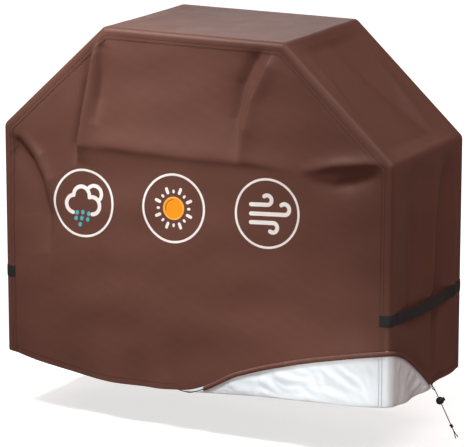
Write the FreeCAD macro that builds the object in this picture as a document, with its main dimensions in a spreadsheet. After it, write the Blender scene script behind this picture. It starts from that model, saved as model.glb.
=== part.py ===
import FreeCAD
import Part
import math
import os
from Sketcher import Constraint

# Fitted cover for a cart grill, in millimetres. Origin: the middle of the top panel's inner face,
# where the cover rests on the grill's lid. +X is the viewer's right, the front faces -Y, +Z is up.

doc = FreeCAD.newDocument("grill_cover")
sheet = doc.addObject("Spreadsheet::Sheet", "Dims")

driving = {
    "cover_width": 1470.0, "cover_depth": 560.0, "top_width": 675.0,
    "slope_drop": 366.0, "skirt_drop": 800.0,
    "fabric_gauge": 1.0, "outline_bend": 26.0, "edge_bend": 18.0,
    "seam_inset": 40.0, "seam_lap": 15.0, "row_first": 26.5, "row_second": 37.0,
    "thread_width": 0.9, "thread_rise": 0.4,
    "front_hem_bow": 52.0, "side_hem_bow": 18.0, "hem_row_height": 20.0,
    "casing_height": 18.0, "casing_channel": 5.5,
    "turn_up_gap": 4.0, "turn_up_start": -115.0, "turn_up_height": 188.0,
    "turn_up_side_end": 42.0, "turn_up_side_bow": 26.0,
    "casing_front_end": -135.0, "turn_up_casing_start": -40.0,
    "turn_up_casing_end": 20.0, "casing_side_start": 76.0,
    "webbing_width": 40.0, "webbing_gauge": 1.6, "handle_height": 305.0,
    "handle_tab": 45.0, "handle_gap": 0.4, "handle_sag": 6.0, "handle_bulge": 7.0,
    "handle_standoff": 0.3, "box_stitch_edge": 3.0, "box_stitch_length": 15.6,
    "box_stitch_height": 32.0,
    "drawcord_diameter": 3.2, "strand_spacing": 3.6,
    "tail_lean_right": 0.357, "tail_lean_back": 0.204,
    "tail_start_out": 9.0, "tail_start_back": 57.0, "tail_start_drop": 30.0,
    "lock_at": 40.0, "lock_travel_up": 18.0, "knot_at": 137.0, "tip_length": 40.0,
    "tip_spread": 4.5,
    "lock_radius": 13.5, "lock_flat": 11.0, "plunger_radius": 5.8, "plunger_clearance": 0.4,
    "cap_standoff": 1.5, "button_travel": 3.0, "button_radius": 6.6, "button_cap": 3.0,
    "spring_seat": 11.0, "spring_free": 5.5, "spring_radius": 4.2, "spring_wire": 0.7,
    "cord_slot_play": 0.5, "knot_radius": 6.5, "knot_length": 13.0, "knot_round": 2.6,
    "icon_stroke": 14.0, "sun_radius": 40.0,
    "film_gauge": 0.15, "print_radius": 119.0, "print_ring": 8.0, "print_pitch": 350.0,
    "print_first_x": -408.0, "print_height": 580.0, "print_climb": 20.0,
}
for row, (alias, value) in enumerate(driving.items(), start=1):
    sheet.set("A%d" % row, alias)
    sheet.set("B%d" % row, str(value))
    sheet.setAlias("B%d" % row, alias)
doc.recompute()


def dim(alias):
    return float(sheet.get(alias))


def cells(text):
    # "{alias}" in an expression stands for the sheet's cell of that name
    return text.replace("{", "Dims.").replace("}", "")


hemLevel = "({fabric_gauge}-{slope_drop}-{skirt_drop})"
halfWidth = "({cover_width}/2)"
halfDepth = "({cover_depth}/2)"
slopeAngle = "atan({slope_drop}/({cover_width}/2-{top_width}/2))"
belowHem = "({front_hem_bow}+60)"
anchorDrop = 5000.0
regionMargin = 60.0


def bind(obj, **expressions):
    for name, text in expressions.items():
        obj.setExpression(name.replace("__", "."), cells(text))


def outlineBlock(name, inset, yHigh, depth, bend=None):
    """A block of the cover's six-sided front outline, drawn in by inset, from yHigh towards the front."""
    body = doc.addObject("PartDesign::Body", name)
    sketch = body.newObject("Sketcher::SketchObject", name + "_outline")
    plane = [f for f in body.Origin.OriginFeatures if f.Role == "XZ_Plane"][0]
    sketch.AttachmentSupport = [(plane, "")]
    sketch.MapMode = "FlatFace"
    bind(sketch, AttachmentOffset__Base__z="-1*(%s)" % yHigh)
    wide, top = dim("cover_width") / 2, dim("top_width") / 2
    shoulder, low = -dim("slope_drop"), -dim("slope_drop") - dim("skirt_drop")
    corners = [(-wide, low), (-wide, shoulder), (-top, 0), (top, 0), (wide, shoulder), (wide, low)]
    for start, end in zip(corners, corners[1:] + corners[:1]):
        line = Part.LineSegment(FreeCAD.Vector(*start, 0), FreeCAD.Vector(*end, 0))
        sketch.addGeometry(line, False)
    for side in range(6):
        sketch.addConstraint(Constraint("Coincident", side, 2, (side + 1) % 6, 1))
    for side in (0, 4):
        sketch.addConstraint(Constraint("Vertical", side))
    sketch.addConstraint(Constraint("Horizontal", 5))
    for left, right in ((1, 3), (2, 2)):
        leftPoint, rightPoint = (left, 1), (right, 2)
        sketch.addConstraint(Constraint("Symmetric", *leftPoint, *rightPoint, -2))
    # the crown is measured from a point far below, so that its distance never changes sign
    anchor = sketch.addGeometry(Part.Point(FreeCAD.Vector(0, -anchorDrop, 0)), True)
    sketch.addConstraint(Constraint("PointOnObject", anchor, 1, -2))
    sketch.addConstraint(Constraint("DistanceY", anchor, 1, -1, 1, anchorDrop))
    sizes = {
        "top": (("DistanceX", 2, 1, 2, 2, 2 * top),
                "{top_width}-2*(%s)*tan(%s/2)" % (inset, slopeAngle)),
        "wide": (("DistanceX", 5, 2, 5, 1, 2 * wide), "{cover_width}-2*(%s)" % inset),
        "fall": (("DistanceY", 1, 1, 1, 2, -shoulder),
                 "{slope_drop}+(%s)*tan(45 deg-%s/2)-(%s)" % (inset, slopeAngle, inset)),
        "skirt": (("DistanceY", 0, 1, 0, 2, shoulder - low),
                  "{skirt_drop}-(%s)*tan(45 deg-%s/2)+%s" % (inset, slopeAngle, belowHem)),
        "crown": (("DistanceY", anchor, 1, 2, 1, anchorDrop),
                  "%.0f+{fabric_gauge}-(%s)" % (anchorDrop, inset)),
    }
    for label, (form, text) in sizes.items():
        index = sketch.addConstraint(Constraint(*form))
        sketch.renameConstraint(index, label)
        sketch.setExpression("Constraints." + label, cells(text))
    pad = body.newObject("PartDesign::Pad", name + "_pad")
    pad.Profile = sketch
    bind(pad, Length=depth)
    doc.recompute()
    if bend:
        corner = body.newObject("PartDesign::Fillet", name + "_corners")
        corner.Base = (pad, ["Edge%d" % (i + 1) for i, e in enumerate(pad.Shape.Edges)
                             if isAlongY(e) and e.CenterOfMass.z > hemZ() + 1])
        bind(corner, Radius="{outline_bend}-(%s)" % inset)
        doc.recompute()
        rim = body.newObject("PartDesign::Fillet", name + "_rim")
        rim.Base = (corner, ["Edge%d" % (i + 1) for i, e in enumerate(corner.Shape.Edges)
                             if e.BoundBox.YLength < 0.01 and not isLow(e)])
        bind(rim, Radius=bend)
        doc.recompute()
    return body


def hemZ():
    return dim("fabric_gauge") - dim("slope_drop") - dim("skirt_drop")


def isAlongY(edge):
    return edge.BoundBox.YLength > 1 and edge.BoundBox.XLength < 0.01 and edge.BoundBox.ZLength < 0.01


def isLow(edge):
    return edge.BoundBox.ZMax < hemZ()


def planBlock(name, inset, low, high):
    """An upright block of the cover's rounded plan, drawn in by inset, between two heights."""
    block = doc.addObject("Part::Box", name + "_block")
    bind(block, Length="{cover_width}-2*(%s)" % inset, Width="{cover_depth}-2*(%s)" % inset,
         Height="(%s)-(%s)" % (high, low), Placement__Base__x="-%s+(%s)" % (halfWidth, inset),
         Placement__Base__y="-%s+(%s)" % (halfDepth, inset), Placement__Base__z=low)
    doc.recompute()
    rounded = doc.addObject("Part::Fillet", name)
    rounded.Base = block
    radius = dim("edge_bend") - valueOf(inset)
    rounded.Edges = [(i + 1, radius, radius) for i, e in enumerate(block.Shape.Edges)
                     if e.BoundBox.ZLength > 1 and e.BoundBox.XLength < 0.01 and e.BoundBox.YLength < 0.01]
    doc.recompute()
    return rounded


def valueOf(text):
    # the value, in millimetres, of an expression of the sheet's cells
    holder = FreeCAD.ActiveDocument.addObject("App::FeaturePython", "probe")
    holder.addProperty("App::PropertyFloat", "Value")
    holder.setExpression("Value", cells(text))
    doc.recompute()
    value = holder.Value
    doc.removeObject(holder.Name)
    return value


def boolean(kind, name, *parts):
    if len(parts) == 2:
        result = doc.addObject("Part::" + kind, name)
        result.Base, result.Tool = parts
    else:
        result = doc.addObject("Part::Multi" + kind, name)
        result.Shapes = list(parts)
    doc.recompute()
    return result


def box(name, x, y, z):
    """A box between (low, high) expressions on each axis."""
    block = doc.addObject("Part::Box", name)
    bind(block, Length="(%s)-(%s)" % (x[1], x[0]), Width="(%s)-(%s)" % (y[1], y[0]),
         Height="(%s)-(%s)" % (z[1], z[0]), Placement__Base__x=x[0],
         Placement__Base__y=y[0], Placement__Base__z=z[0])
    return block


# ---- how far each layer lies inside (+) or outside (-) the cover's outer face
layer = {
    "face": "0", "under": "{fabric_gauge}", "lining": "2*{fabric_gauge}",
    "channel": "2*{fabric_gauge}+{casing_channel}",
    "casing": "3*{fabric_gauge}+{casing_channel}",
    "upInner": "-{turn_up_gap}", "upWrap": "-{turn_up_gap}-{fabric_gauge}",
    "upPanel": "-{turn_up_gap}-2*{fabric_gauge}",
    "upChannel": "-{turn_up_gap}-2*{fabric_gauge}-{casing_channel}",
    "upCasing": "-{turn_up_gap}-3*{fabric_gauge}-{casing_channel}",
    "thread": "-{thread_rise}", "webbing": "-{webbing_gauge}",
}
high = hemLevel + "+{handle_height}+60"
low = hemLevel + "-{front_hem_bow}-60"


def hemRegion(name, lift):
    """Everything above the bowed hem line, which is raised by lift."""
    rounds = []
    for axis, half, bow, length in (("front", halfWidth, "{front_hem_bow}", "{cover_depth}"),
                                    ("side", halfDepth, "{side_hem_bow}", "{cover_width}")):
        radius = "((%s)^2+%s^2)/(2*%s)" % (half, bow, bow)
        piece = doc.addObject("Part::Cylinder", name + "_" + axis)
        turn = FreeCAD.Rotation(FreeCAD.Vector(1, 0, 0), -90)
        if axis == "side":
            turn = FreeCAD.Rotation(FreeCAD.Vector(0, 1, 0), 90)
        piece.Placement = FreeCAD.Placement(FreeCAD.Vector(), turn)
        bind(piece, Radius=radius, Height="%s+200" % length,
             Placement__Base__z="%s-%s+%s+(%s)" % (hemLevel, bow, radius, lift))
        along = "y" if axis == "front" else "x"
        bind(piece, **{"Placement__Base__" + along: "-%s/2-100" % length})
        rounds.append(piece)
    return boolean("Fuse", name, *rounds)


def turnUpFront(x):
    """The height of the turned-up corner's sloping edge on the front."""
    rise = dim("turn_up_height") + dim("front_hem_bow")
    run = dim("cover_width") / 2 - dim("turn_up_start")
    return hemZ() - dim("front_hem_bow") + rise / run * (x - dim("turn_up_start"))


def turnUpSideEdge(x, lower):
    """The turned-up corner's bowed edge on the side, lowered by lower, in the plane at x."""
    top = FreeCAD.Vector(x, -dim("cover_depth") / 2, hemZ() - lower + dim("turn_up_height"))
    foot = FreeCAD.Vector(x, dim("turn_up_side_end"), hemZ() - lower - dim("side_hem_bow") / 2)
    along = (foot - top).normalize()
    middle = (top + foot) / 2 + FreeCAD.Vector(0, -along.z, along.y) * dim("turn_up_side_bow")
    return Part.Arc(top, middle, foot), top, foot


def turnUpRegion(name, lower, start):
    """Everything below the edge of the turned-up corner, which is lowered by lower."""
    half = dim("cover_depth") / 2
    front = -half - regionMargin
    reach = dim("cover_width") / 2 + regionMargin
    begin = valueOf(start)
    floor = hemZ() - dim("front_hem_bow") - regionMargin
    slab = Part.makePolygon([FreeCAD.Vector(x, front, z) for x, z in (
        (begin, floor), (begin, turnUpFront(begin) - lower), (reach, turnUpFront(reach) - lower),
        (reach, floor), (begin, floor))])
    slab = Part.Face(slab).extrude(FreeCAD.Vector(0, 2 * half, 0))
    arc, top, foot = turnUpSideEdge(begin, lower)
    around = [foot, FreeCAD.Vector(begin, foot.y, floor), FreeCAD.Vector(begin, front, floor),
              FreeCAD.Vector(begin, front, top.z + regionMargin), top]
    side = Part.Face(Part.Wire([arc.toShape()] + Part.makePolygon(around).Edges))
    region = doc.addObject("Part::Feature", name)
    region.Shape = slab.common(side.extrude(FreeCAD.Vector(reach - begin, 0, 0)))
    return region


# ---- solids that the pieces are cut with
aboveHem = hemRegion("above_hem", "0")
aboveFold = hemRegion("above_fold", "{fabric_gauge}")
aboveOuterFold = hemRegion("above_outer_fold", "-{fabric_gauge}")
aboveCasing = hemRegion("above_casing", "{casing_height}")
casingFloor = hemRegion("casing_floor", "{fabric_gauge}")
casingRoof = hemRegion("casing_roof", "{casing_height}-{fabric_gauge}")
turnUp = turnUpRegion("turn_up", 0, "{turn_up_start}")

# ---- wrap panel: top, slopes and sides in one strip, with flanges on the front and back faces
outerForm = outlineBlock("outer_form", "0", halfDepth, "{cover_depth}", "{edge_bend}")
innerForm = outlineBlock("inner_form", "{fabric_gauge}", halfDepth + "-{fabric_gauge}",
                         "{cover_depth}-2*{fabric_gauge}", "{edge_bend}-{fabric_gauge}")
wrapShell = boolean("Cut", "wrap_shell", outerForm, innerForm)
faceWindow = outlineBlock("face_window", "{seam_inset}", halfDepth + "+20", "{cover_depth}+40")
wrapStrip = boolean("Cut", "wrap_strip", wrapShell, faceWindow)
wrapHemmed = boolean("Common", "wrap_hemmed", wrapStrip, aboveHem)


def turnedUp(name, outerLayer, innerLayer, insideLayer, hollowLayer, keep, fold, hollowFold):
    """A hem corner folded up on the outside: a U of fabric, cut from blocks of the rounded plan."""
    outer = planBlock(name + "_outer", layer[outerLayer], low, high)
    inside = planBlock(name + "_inside", layer[insideLayer], low, high)
    wall = boolean("Cut", name + "_wall", outer, inside)
    hollowOuter = planBlock(name + "_hollow_outer", layer[innerLayer], low, high)
    hollowInside = planBlock(name + "_hollow_inside", layer[hollowLayer], low, high)
    hollow = boolean("Cut", name + "_hollow", hollowOuter, hollowInside)
    hollowUp = boolean("Common", name + "_hollow_up", hollow, hollowFold)
    fold = boolean("Common", name + "_fold", wall, fold)
    corner = boolean("Common", name + "_corner", fold, turnUp)
    kept = boolean("Common", name + "_kept", corner, keep)
    return boolean("Cut", name, kept, hollowUp)


flangeSide = box("flange_side", (halfWidth + "-{seam_inset}", halfWidth + "+60"),
                 ("-%s-60" % halfDepth, "%s+60" % halfDepth), (low, high))
panelSide = box("panel_side", ("-%s" % halfWidth, halfWidth + "-{seam_inset}+{seam_lap}"),
                ("-%s-60" % halfDepth, "-%s+60" % halfDepth), (low, high))
wrapTurnUp = turnedUp("wrap_turn_up", "upWrap", "upInner", "under", "face", flangeSide,
                      aboveHem, aboveFold)
wrapPanel = boolean("Fuse", "wrap_panel", wrapHemmed, wrapTurnUp)

# ---- front and back panels, flat, under the wrap's flanges
panelInset = "{seam_inset}-{seam_lap}"
frontFlat = outlineBlock("front_flat", panelInset, "-%s+2*{fabric_gauge}" % halfDepth, "{fabric_gauge}")
frontHemmed = boolean("Common", "front_hemmed", frontFlat, aboveHem)
frontTurnUp = turnedUp("front_turn_up", "upPanel", "upWrap", "lining", "under", panelSide,
                       aboveOuterFold, aboveHem)
frontPanel = boolean("Fuse", "front_panel", frontHemmed, frontTurnUp)
backFlat = outlineBlock("back_flat", panelInset, halfDepth + "-{fabric_gauge}", "{fabric_gauge}")
backPanel = boolean("Common", "back_panel", backFlat, aboveHem)

# ---- hem casing: a strip inside the hem, and outside on the turned-up corner, that holds the drawcord
hemCorner = box("hem_corner", ("{casing_front_end}", halfWidth + "+60"),
                ("-%s-60" % halfDepth, "{casing_side_start}"), (low, high))


def walls(name, outerLayer, innerLayer):
    return boolean("Cut", name, planBlock(name + "_out", layer[outerLayer], low, high),
                   planBlock(name + "_in", layer[innerLayer], low, high))


casingHung = boolean("Common", "casing_hung", walls("casing_walls", "under", "casing"), aboveHem)
casingSolid = boolean("Cut", "casing_solid", casingHung, aboveCasing)
tunnelHung = boolean("Common", "tunnel_hung", walls("tunnel_walls", "lining", "channel"), casingFloor)
casingTunnel = boolean("Cut", "casing_tunnel", tunnelHung, casingRoof)
casingCuts = boolean("Fuse", "casing_cuts", casingTunnel, frontPanel, backPanel, hemCorner)
hemCasingInside = boolean("Cut", "hem_casing_inside", casingSolid, casingCuts)

turnUpBand = boolean("Cut", "turn_up_band", turnUpRegion("turn_up_top", 0, "{turn_up_casing_start}"),
                     turnUpRegion("turn_up_bottom", dim("casing_height"), "{turn_up_casing_start}-5"))
turnUpTunnel = boolean("Cut", "turn_up_tunnel",
                       turnUpRegion("tunnel_top", dim("fabric_gauge"), "{turn_up_casing_start}-5"),
                       turnUpRegion("tunnel_bottom", dim("casing_height") - dim("fabric_gauge"),
                                    "{turn_up_casing_start}-9"))
outsideSolid = boolean("Common", "outside_solid",
                       walls("outside_walls", "upCasing", "upWrap"), turnUpBand)
outsideTunnel = boolean("Common", "outside_tunnel",
                        walls("outside_tunnel_walls", "upChannel", "upPanel"), turnUpTunnel)
outsideEnd = box("outside_end", (halfWidth + "-60", halfWidth + "+60"),
                 ("{turn_up_casing_end}", halfDepth), (low, high))
outsideCuts = boolean("Fuse", "outside_cuts", outsideTunnel, frontPanel, outsideEnd)
hemCasingOutside = boolean("Cut", "hem_casing_outside", outsideSolid, outsideCuts)
hemCasing = boolean("Fuse", "hem_casing", hemCasingInside, hemCasingOutside)

# ---- topstitching: two rows round the front and back seams, one row round the hem
rowRings = []
for label, row in (("first", "{row_first}"), ("second", "{row_second}")):
    ringOuter = outlineBlock(label + "_row_outer", row, halfDepth + "+{thread_rise}",
                             "{cover_depth}+2*{thread_rise}")
    ringInner = outlineBlock(label + "_row_inner", row + "+{thread_width}", halfDepth + "+5",
                             "{cover_depth}+10")
    rowRings.append(boolean("Cut", label + "_row", ringOuter, ringInner))
rows = boolean("Common", "seam_rows", boolean("Fuse", "row_rings", *rowRings), aboveFold)
tabHigh = hemLevel + "+{handle_height}"
tabLow = tabHigh + "-{webbing_width}"
handleBand = box("handle_band", ("-%s-60" % halfWidth, halfWidth + "+60"),
                 ("-%s-60" % halfDepth, halfDepth + "+60"), (tabLow, tabHigh))
rowsClear = boolean("Cut", "rows_clear_of_handles", rows, handleBand)
frontSlab = box("front_slab", ("-" + halfWidth, halfWidth),
                ("-%s-{thread_rise}" % halfDepth, "-" + halfDepth), (low, "{fabric_gauge}"))
backSlab = box("back_slab", ("-" + halfWidth, halfWidth),
               (halfDepth, halfDepth + "+{thread_rise}"), (low, "{fabric_gauge}"))
frontStitching = boolean("Common", "front_seam_stitching", rowsClear, frontSlab)
backStitching = boolean("Common", "back_seam_stitching", rowsClear, backSlab)

rowBottom = hemRegion("row_bottom", "{hem_row_height}")
rowTop = hemRegion("row_top", "{hem_row_height}+{thread_width}")
layer["panelThread"] = "{fabric_gauge}-{thread_rise}"
sideAbove = boolean("Common", "side_row_above", walls("side_row_walls", "thread", "face"), rowBottom)
sideRow = boolean("Cut", "side_row", sideAbove, rowTop)
panelAbove = boolean("Common", "panel_row_above",
                     walls("panel_row_walls", "panelThread", "under"), rowBottom)
panelRow = boolean("Cut", "panel_row", panelAbove, rowTop)
middle = box("middle", ("-%s+{seam_inset}" % halfWidth, halfWidth + "-{seam_inset}"),
             ("-%s-60" % halfDepth, halfDepth + "+60"), (low, high))
rowCorner = box("row_corner", ("{turn_up_start}-12", halfWidth + "+60"),
                ("-%s-60" % halfDepth, "{turn_up_side_end}+12"), (low, high))
sideRowTrim = boolean("Cut", "side_row_trim", sideRow, boolean("Fuse", "side_cuts", middle, rowCorner))
panelRowMiddle = boolean("Common", "panel_row_middle", panelRow, middle)
panelRowTrim = boolean("Cut", "panel_row_trim", panelRowMiddle, rowCorner)
rowDrop = dim("casing_height") - 2 * dim("thread_width")
turnUpRow = boolean("Cut", "turn_up_row",
                    turnUpRegion("turn_up_row_top", rowDrop, "{turn_up_casing_start}"),
                    turnUpRegion("turn_up_row_bottom", rowDrop + dim("thread_width"),
                                 "{turn_up_casing_start}-5"))
layer["casingThread"] = layer["upCasing"] + "-{thread_rise}"
outsideRow = boolean("Common", "outside_row",
                     walls("outside_row_walls", "casingThread", "upCasing"), turnUpRow)
outsideRowTrim = boolean("Cut", "outside_row_trim", outsideRow, outsideEnd)
hemRows = boolean("Fuse", "hem_rows", sideRowTrim, panelRowTrim, outsideRowTrim)
seamRows = boolean("Fuse", "both_seam_rows", frontStitching, backStitching)
hemStitching = boolean("Cut", "hem_stitching", hemRows, seamRows)

# ---- webbing handles: sewn ends on the flanges, and the strap between them
handles = {}
for side, sign in (("right", 1), ("left", -1)):
    webbing = boolean("Common", side + "_webbing",
                      walls(side + "_webbing_walls", "webbing", "face"), handleBand)
    endsKeep = []
    for end, toward in (("front", -1), ("back", 1)):
        across = (halfWidth + "-{seam_inset}", halfWidth + "+20")
        if sign < 0:
            across = ("-%s-20" % halfWidth, "-%s+{seam_inset}" % halfWidth)
        along = ("-%s-20" % halfDepth, "-%s+{handle_tab}" % halfDepth)
        if toward > 0:
            along = (halfDepth + "-{handle_tab}", halfDepth + "+20")
        endsKeep.append(box(side + "_" + end + "_end", across, along, (low, high)))
    keep = boolean("Fuse", side + "_ends_keep", *endsKeep)
    handles[side + "_handle_ends"] = boolean("Common", side + "_handle_ends", webbing, keep)

    halfSpan = "(%s-{handle_tab}-{handle_gap})" % halfDepth
    planRadius = "((%s^2+{handle_bulge}^2)/(2*{handle_bulge}))" % halfSpan
    bowed = []
    for label, thick in (("outer", "{webbing_gauge}"), ("inner", "0")):
        shell = doc.addObject("Part::Cylinder", side + "_strap_" + label)
        centre = "%s+{handle_standoff}+{handle_bulge}-%s" % (halfWidth, planRadius)
        bind(shell, Radius="%s+%s" % (planRadius, thick), Height="{webbing_width}+2*{handle_sag}+20",
             Placement__Base__x="%d*(%s)" % (sign, centre),
             Placement__Base__z=tabLow + "-2*{handle_sag}-10")
        bowed.append(shell)
    strapWall = boolean("Cut", side + "_strap_wall", *bowed)
    sagRadius = "((%s^2+{handle_sag}^2)/(2*{handle_sag}))" % halfSpan
    sags = []
    for label, drop in (("lower", "{webbing_width}"), ("upper", "0")):
        sag = doc.addObject("Part::Cylinder", side + "_sag_" + label)
        sag.Placement = FreeCAD.Placement(FreeCAD.Vector(), FreeCAD.Rotation(FreeCAD.Vector(0, 1, 0), 90))
        bind(sag, Radius=sagRadius, Height="{cover_width}+200", Placement__Base__x="-%s-100" % halfWidth,
             Placement__Base__z="%s-%s-{handle_sag}+%s" % (tabHigh, drop, sagRadius))
        sags.append(sag)
    strapBand = boolean("Cut", side + "_strap_band", *sags)
    strapSpan = (halfWidth, halfWidth + "+60")
    if sign < 0:
        strapSpan = ("-%s-60" % halfWidth, "-" + halfWidth)
    strapKeep = box(side + "_strap_keep", strapSpan, ("-" + halfSpan, halfSpan),
                    (tabLow + "-60", tabHigh + "+20"))
    wallSpan = boolean("Common", side + "_strap_span", strapWall, strapKeep)
    handles[side + "_handle_strap"] = boolean("Common", side + "_handle_strap", wallSpan, strapBand)

    boxes = []
    stitchMargin = "({webbing_width}-{box_stitch_height})/2"
    lowZ, highZ = tabLow + "+" + stitchMargin, tabHigh + "-" + stitchMargin
    lowX = halfWidth + "-{seam_inset}+{box_stitch_edge}"
    if sign < 0:
        lowX = "-%s+{seam_inset}-{box_stitch_edge}-{box_stitch_length}" % halfWidth
    highX = lowX + "+{box_stitch_length}"
    face = "%s+{webbing_gauge}" % halfDepth
    for end, toward in (("front", -1), ("back", 1)):
        yPair = ("-(%s)-{thread_rise}" % face, "-(%s)" % face)
        if toward > 0:
            yPair = (face, face + "+{thread_rise}")
        ring = box(side + end + "_stitch_ring", (lowX, highX), yPair, (lowZ, highZ))
        hole = box(side + end + "_stitch_hole", (lowX + "+{thread_width}", highX + "-{thread_width}"),
                   ("%s-5" % yPair[0], "%s+5" % yPair[1]),
                   (lowZ + "+{thread_width}", highZ + "-{thread_width}"))
        boxes.append(boolean("Cut", side + end + "_stitch_box", ring, hole))
    handles[side + "_handle_stitching"] = boolean("Fuse", side + "_handle_stitching", *boxes)

# ---- drawcord: a ring in the casing, whose two ends come out at the side and hang as a pair
vector = FreeCAD.Vector
sideX, endY = dim("cover_width") / 2, dim("cover_depth") / 2
insideLine = 2 * dim("fabric_gauge") + dim("casing_channel") / 2
outsideLine = dim("turn_up_gap") + 2 * dim("fabric_gauge") + dim("casing_channel") / 2


def frontHem(x):
    return hemZ() - dim("front_hem_bow") * (1 - (x / sideX) ** 2)


def sideHem(y):
    return hemZ() - dim("side_hem_bow") * (1 - (y / endY) ** 2)


def tangentPath(points, largest):
    """Straight runs joined by tangent arcs, and the arcs' radii; largest caps the radius at a point."""
    edges, radii = [], []
    start = points[0]
    for index in range(1, len(points) - 1):
        before, here, after = points[index - 1:index + 2]
        inward, outward = (here - before), (after - here)
        turn = inward.getAngle(outward)
        radius = 0.45 * min(inward.Length, outward.Length) / math.tan(turn / 2)
        radius = min(radius, largest.get(index, radius))
        cut = radius * math.tan(turn / 2)
        inward, outward = inward.normalize(), outward.normalize()
        first, last = here - inward * cut, here + outward * cut
        bisector = (outward - inward).normalize()
        middle = here + bisector * (radius / math.cos(turn / 2) - radius)
        edges.append(Part.LineSegment(start, first).toShape())
        edges.append(Part.Arc(first, middle, last).toShape())
        radii.append(round(radius, 1))
        start = last
    edges.append(Part.LineSegment(start, points[-1]).toShape())
    return Part.Wire(edges), radii


def cordTube(name, points, diameter, largest):
    path, radii = tangentPath(points, largest)
    first = (points[1] - points[0]).normalize()
    ring = Part.Wire([Part.Circle(points[0], first, diameter / 2).toShape()])
    tube = doc.addObject("Part::Feature", name)
    tube.Shape = path.makePipeShell([ring], True, False)
    expected = math.pi * diameter ** 2 / 4 * path.Length
    print("%s: %.0f mm long, radii %s, volume %.4f of its section times its length"
          % (name, path.Length, radii, tube.Shape.Volume / expected))
    return tube


inX, inY = sideX - insideLine, endY - insideLine
outX, outY = sideX + outsideLine, endY + outsideLine
lift = dim("casing_height") / 2
sideEdge, sideTop, sideFoot = turnUpSideEdge(0, 0)


def turnUpSide(y):
    upright = Part.LineSegment(vector(0, y, sideFoot.z - 5), vector(0, y, sideTop.z + 5))
    return sideEdge.intersect(upright)[0].Z


ringPoints = [vector(inX, dim("casing_side_start"), sideHem(dim("casing_side_start")) + lift),
              vector(inX, 170, sideHem(170) + lift),
              vector(inX, inY, sideHem(inY) + lift)]
ringPoints += [vector(x, inY, frontHem(x) + lift) for x in (500, 230, -40, -300, -540)]
ringPoints += [vector(-inX, inY, sideHem(inY) + lift), vector(-inX, 100, sideHem(100) + lift),
               vector(-inX, -90, sideHem(90) + lift), vector(-inX, -inY, sideHem(inY) + lift)]
ringPoints += [vector(x, -inY, frontHem(x) + lift) for x in (-520, -330, -190)]
ringPoints += [vector(-130, -inY, frontHem(-130) + lift - 1), vector(-104, -inY - 1, frontHem(-104) - 5),
               vector(-74, -outY + 1, frontHem(-74) - 5), vector(-38, -outY, turnUpFront(-38) - lift)]
ringPoints += [vector(outX, -outY, turnUpFront(sideX) - lift)]
ringPoints += [vector(outX, y, turnUpSide(y) - lift) for y in (-180, -90, -20, dim("turn_up_casing_end"))]
ringCorners = {2: dim("edge_bend") - insideLine, 8: dim("edge_bend") - insideLine,
               11: dim("edge_bend") - insideLine, 19: dim("edge_bend") + outsideLine}
hemDrawcord = cordTube("hem_drawcord", ringPoints, dim("drawcord_diameter"), ringCorners)

# ---- tail: both ends lean out to the side, through the lock to the knot
tailLean = vector(dim("tail_lean_right"), dim("tail_lean_back"), 0)
tailDown = tailLean + vector(0, 0, -math.sqrt(1 - tailLean.Length ** 2))
tailAcross = vector(-dim("tail_lean_back"), dim("tail_lean_right"), 0).normalize()
tailOut = tailAcross.cross(tailDown * -1)
tailStart = vector(sideX + dim("tail_start_out"), dim("tail_start_back"), hemZ() - dim("tail_start_drop"))
frame = FreeCAD.Matrix(tailOut.x, tailAcross.x, -tailDown.x, 0, tailOut.y, tailAcross.y, -tailDown.y, 0,
                       tailOut.z, tailAcross.z, -tailDown.z, 0, 0, 0, 0, 1)
tailTurn = FreeCAD.Rotation(frame)


def alongTail(distance):
    return tailStart + tailDown * distance


halfSpacing = tailAcross * (dim("strand_spacing") / 2)
knotTop = dim("knot_at") - dim("knot_length") / 2
frontEnd, frontBefore = ringPoints[-1], ringPoints[-2]
leave = (frontEnd - frontBefore).normalize()
strandFront = cordTube("drawcord_strand_front",
                       [frontEnd, frontEnd + leave * 16, alongTail(0) - halfSpacing,
                        alongTail(knotTop) - halfSpacing], dim("drawcord_diameter"), {})
rearEnd = ringPoints[0]
strandRear = cordTube("drawcord_strand_rear",
                      [rearEnd, rearEnd + (rearEnd - ringPoints[1]).normalize() * 15,
                       vector(inX + 2.5, rearEnd.y - 23, rearEnd.z - 16), alongTail(0) + halfSpacing,
                       alongTail(knotTop) + halfSpacing], dim("drawcord_diameter"), {})


def onTail(name, shape, distance):
    """Places a shape, made about its own cord axis, at a distance down the tail."""
    piece = doc.addObject("Part::Feature", name)
    piece.Shape = shape
    piece.Placement = FreeCAD.Placement(alongTail(distance), tailTurn) * shape.Placement
    return piece


xAxis = vector(1, 0, 0)
cordHalf = dim("drawcord_diameter") / 2 + dim("cord_slot_play")
slotHalfY = cordHalf + dim("strand_spacing") / 2
ball = Part.makeSphere(dim("lock_radius")).common(
    Part.makeBox(60, 60, 2 * dim("lock_flat"), vector(-30, -30, -dim("lock_flat"))))
boreRadius = dim("plunger_radius") + dim("plunger_clearance")
bore = Part.makeCylinder(boreRadius, 60, vector(-dim("spring_seat"), 0, 0), xAxis)
slot = Part.makeBox(2 * cordHalf, 2 * slotHalfY, 60, vector(-cordHalf, -slotHalfY, -30))
lockBody = onTail("cord_lock_body", ball.cut(bore).cut(slot), dim("lock_at"))

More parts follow.
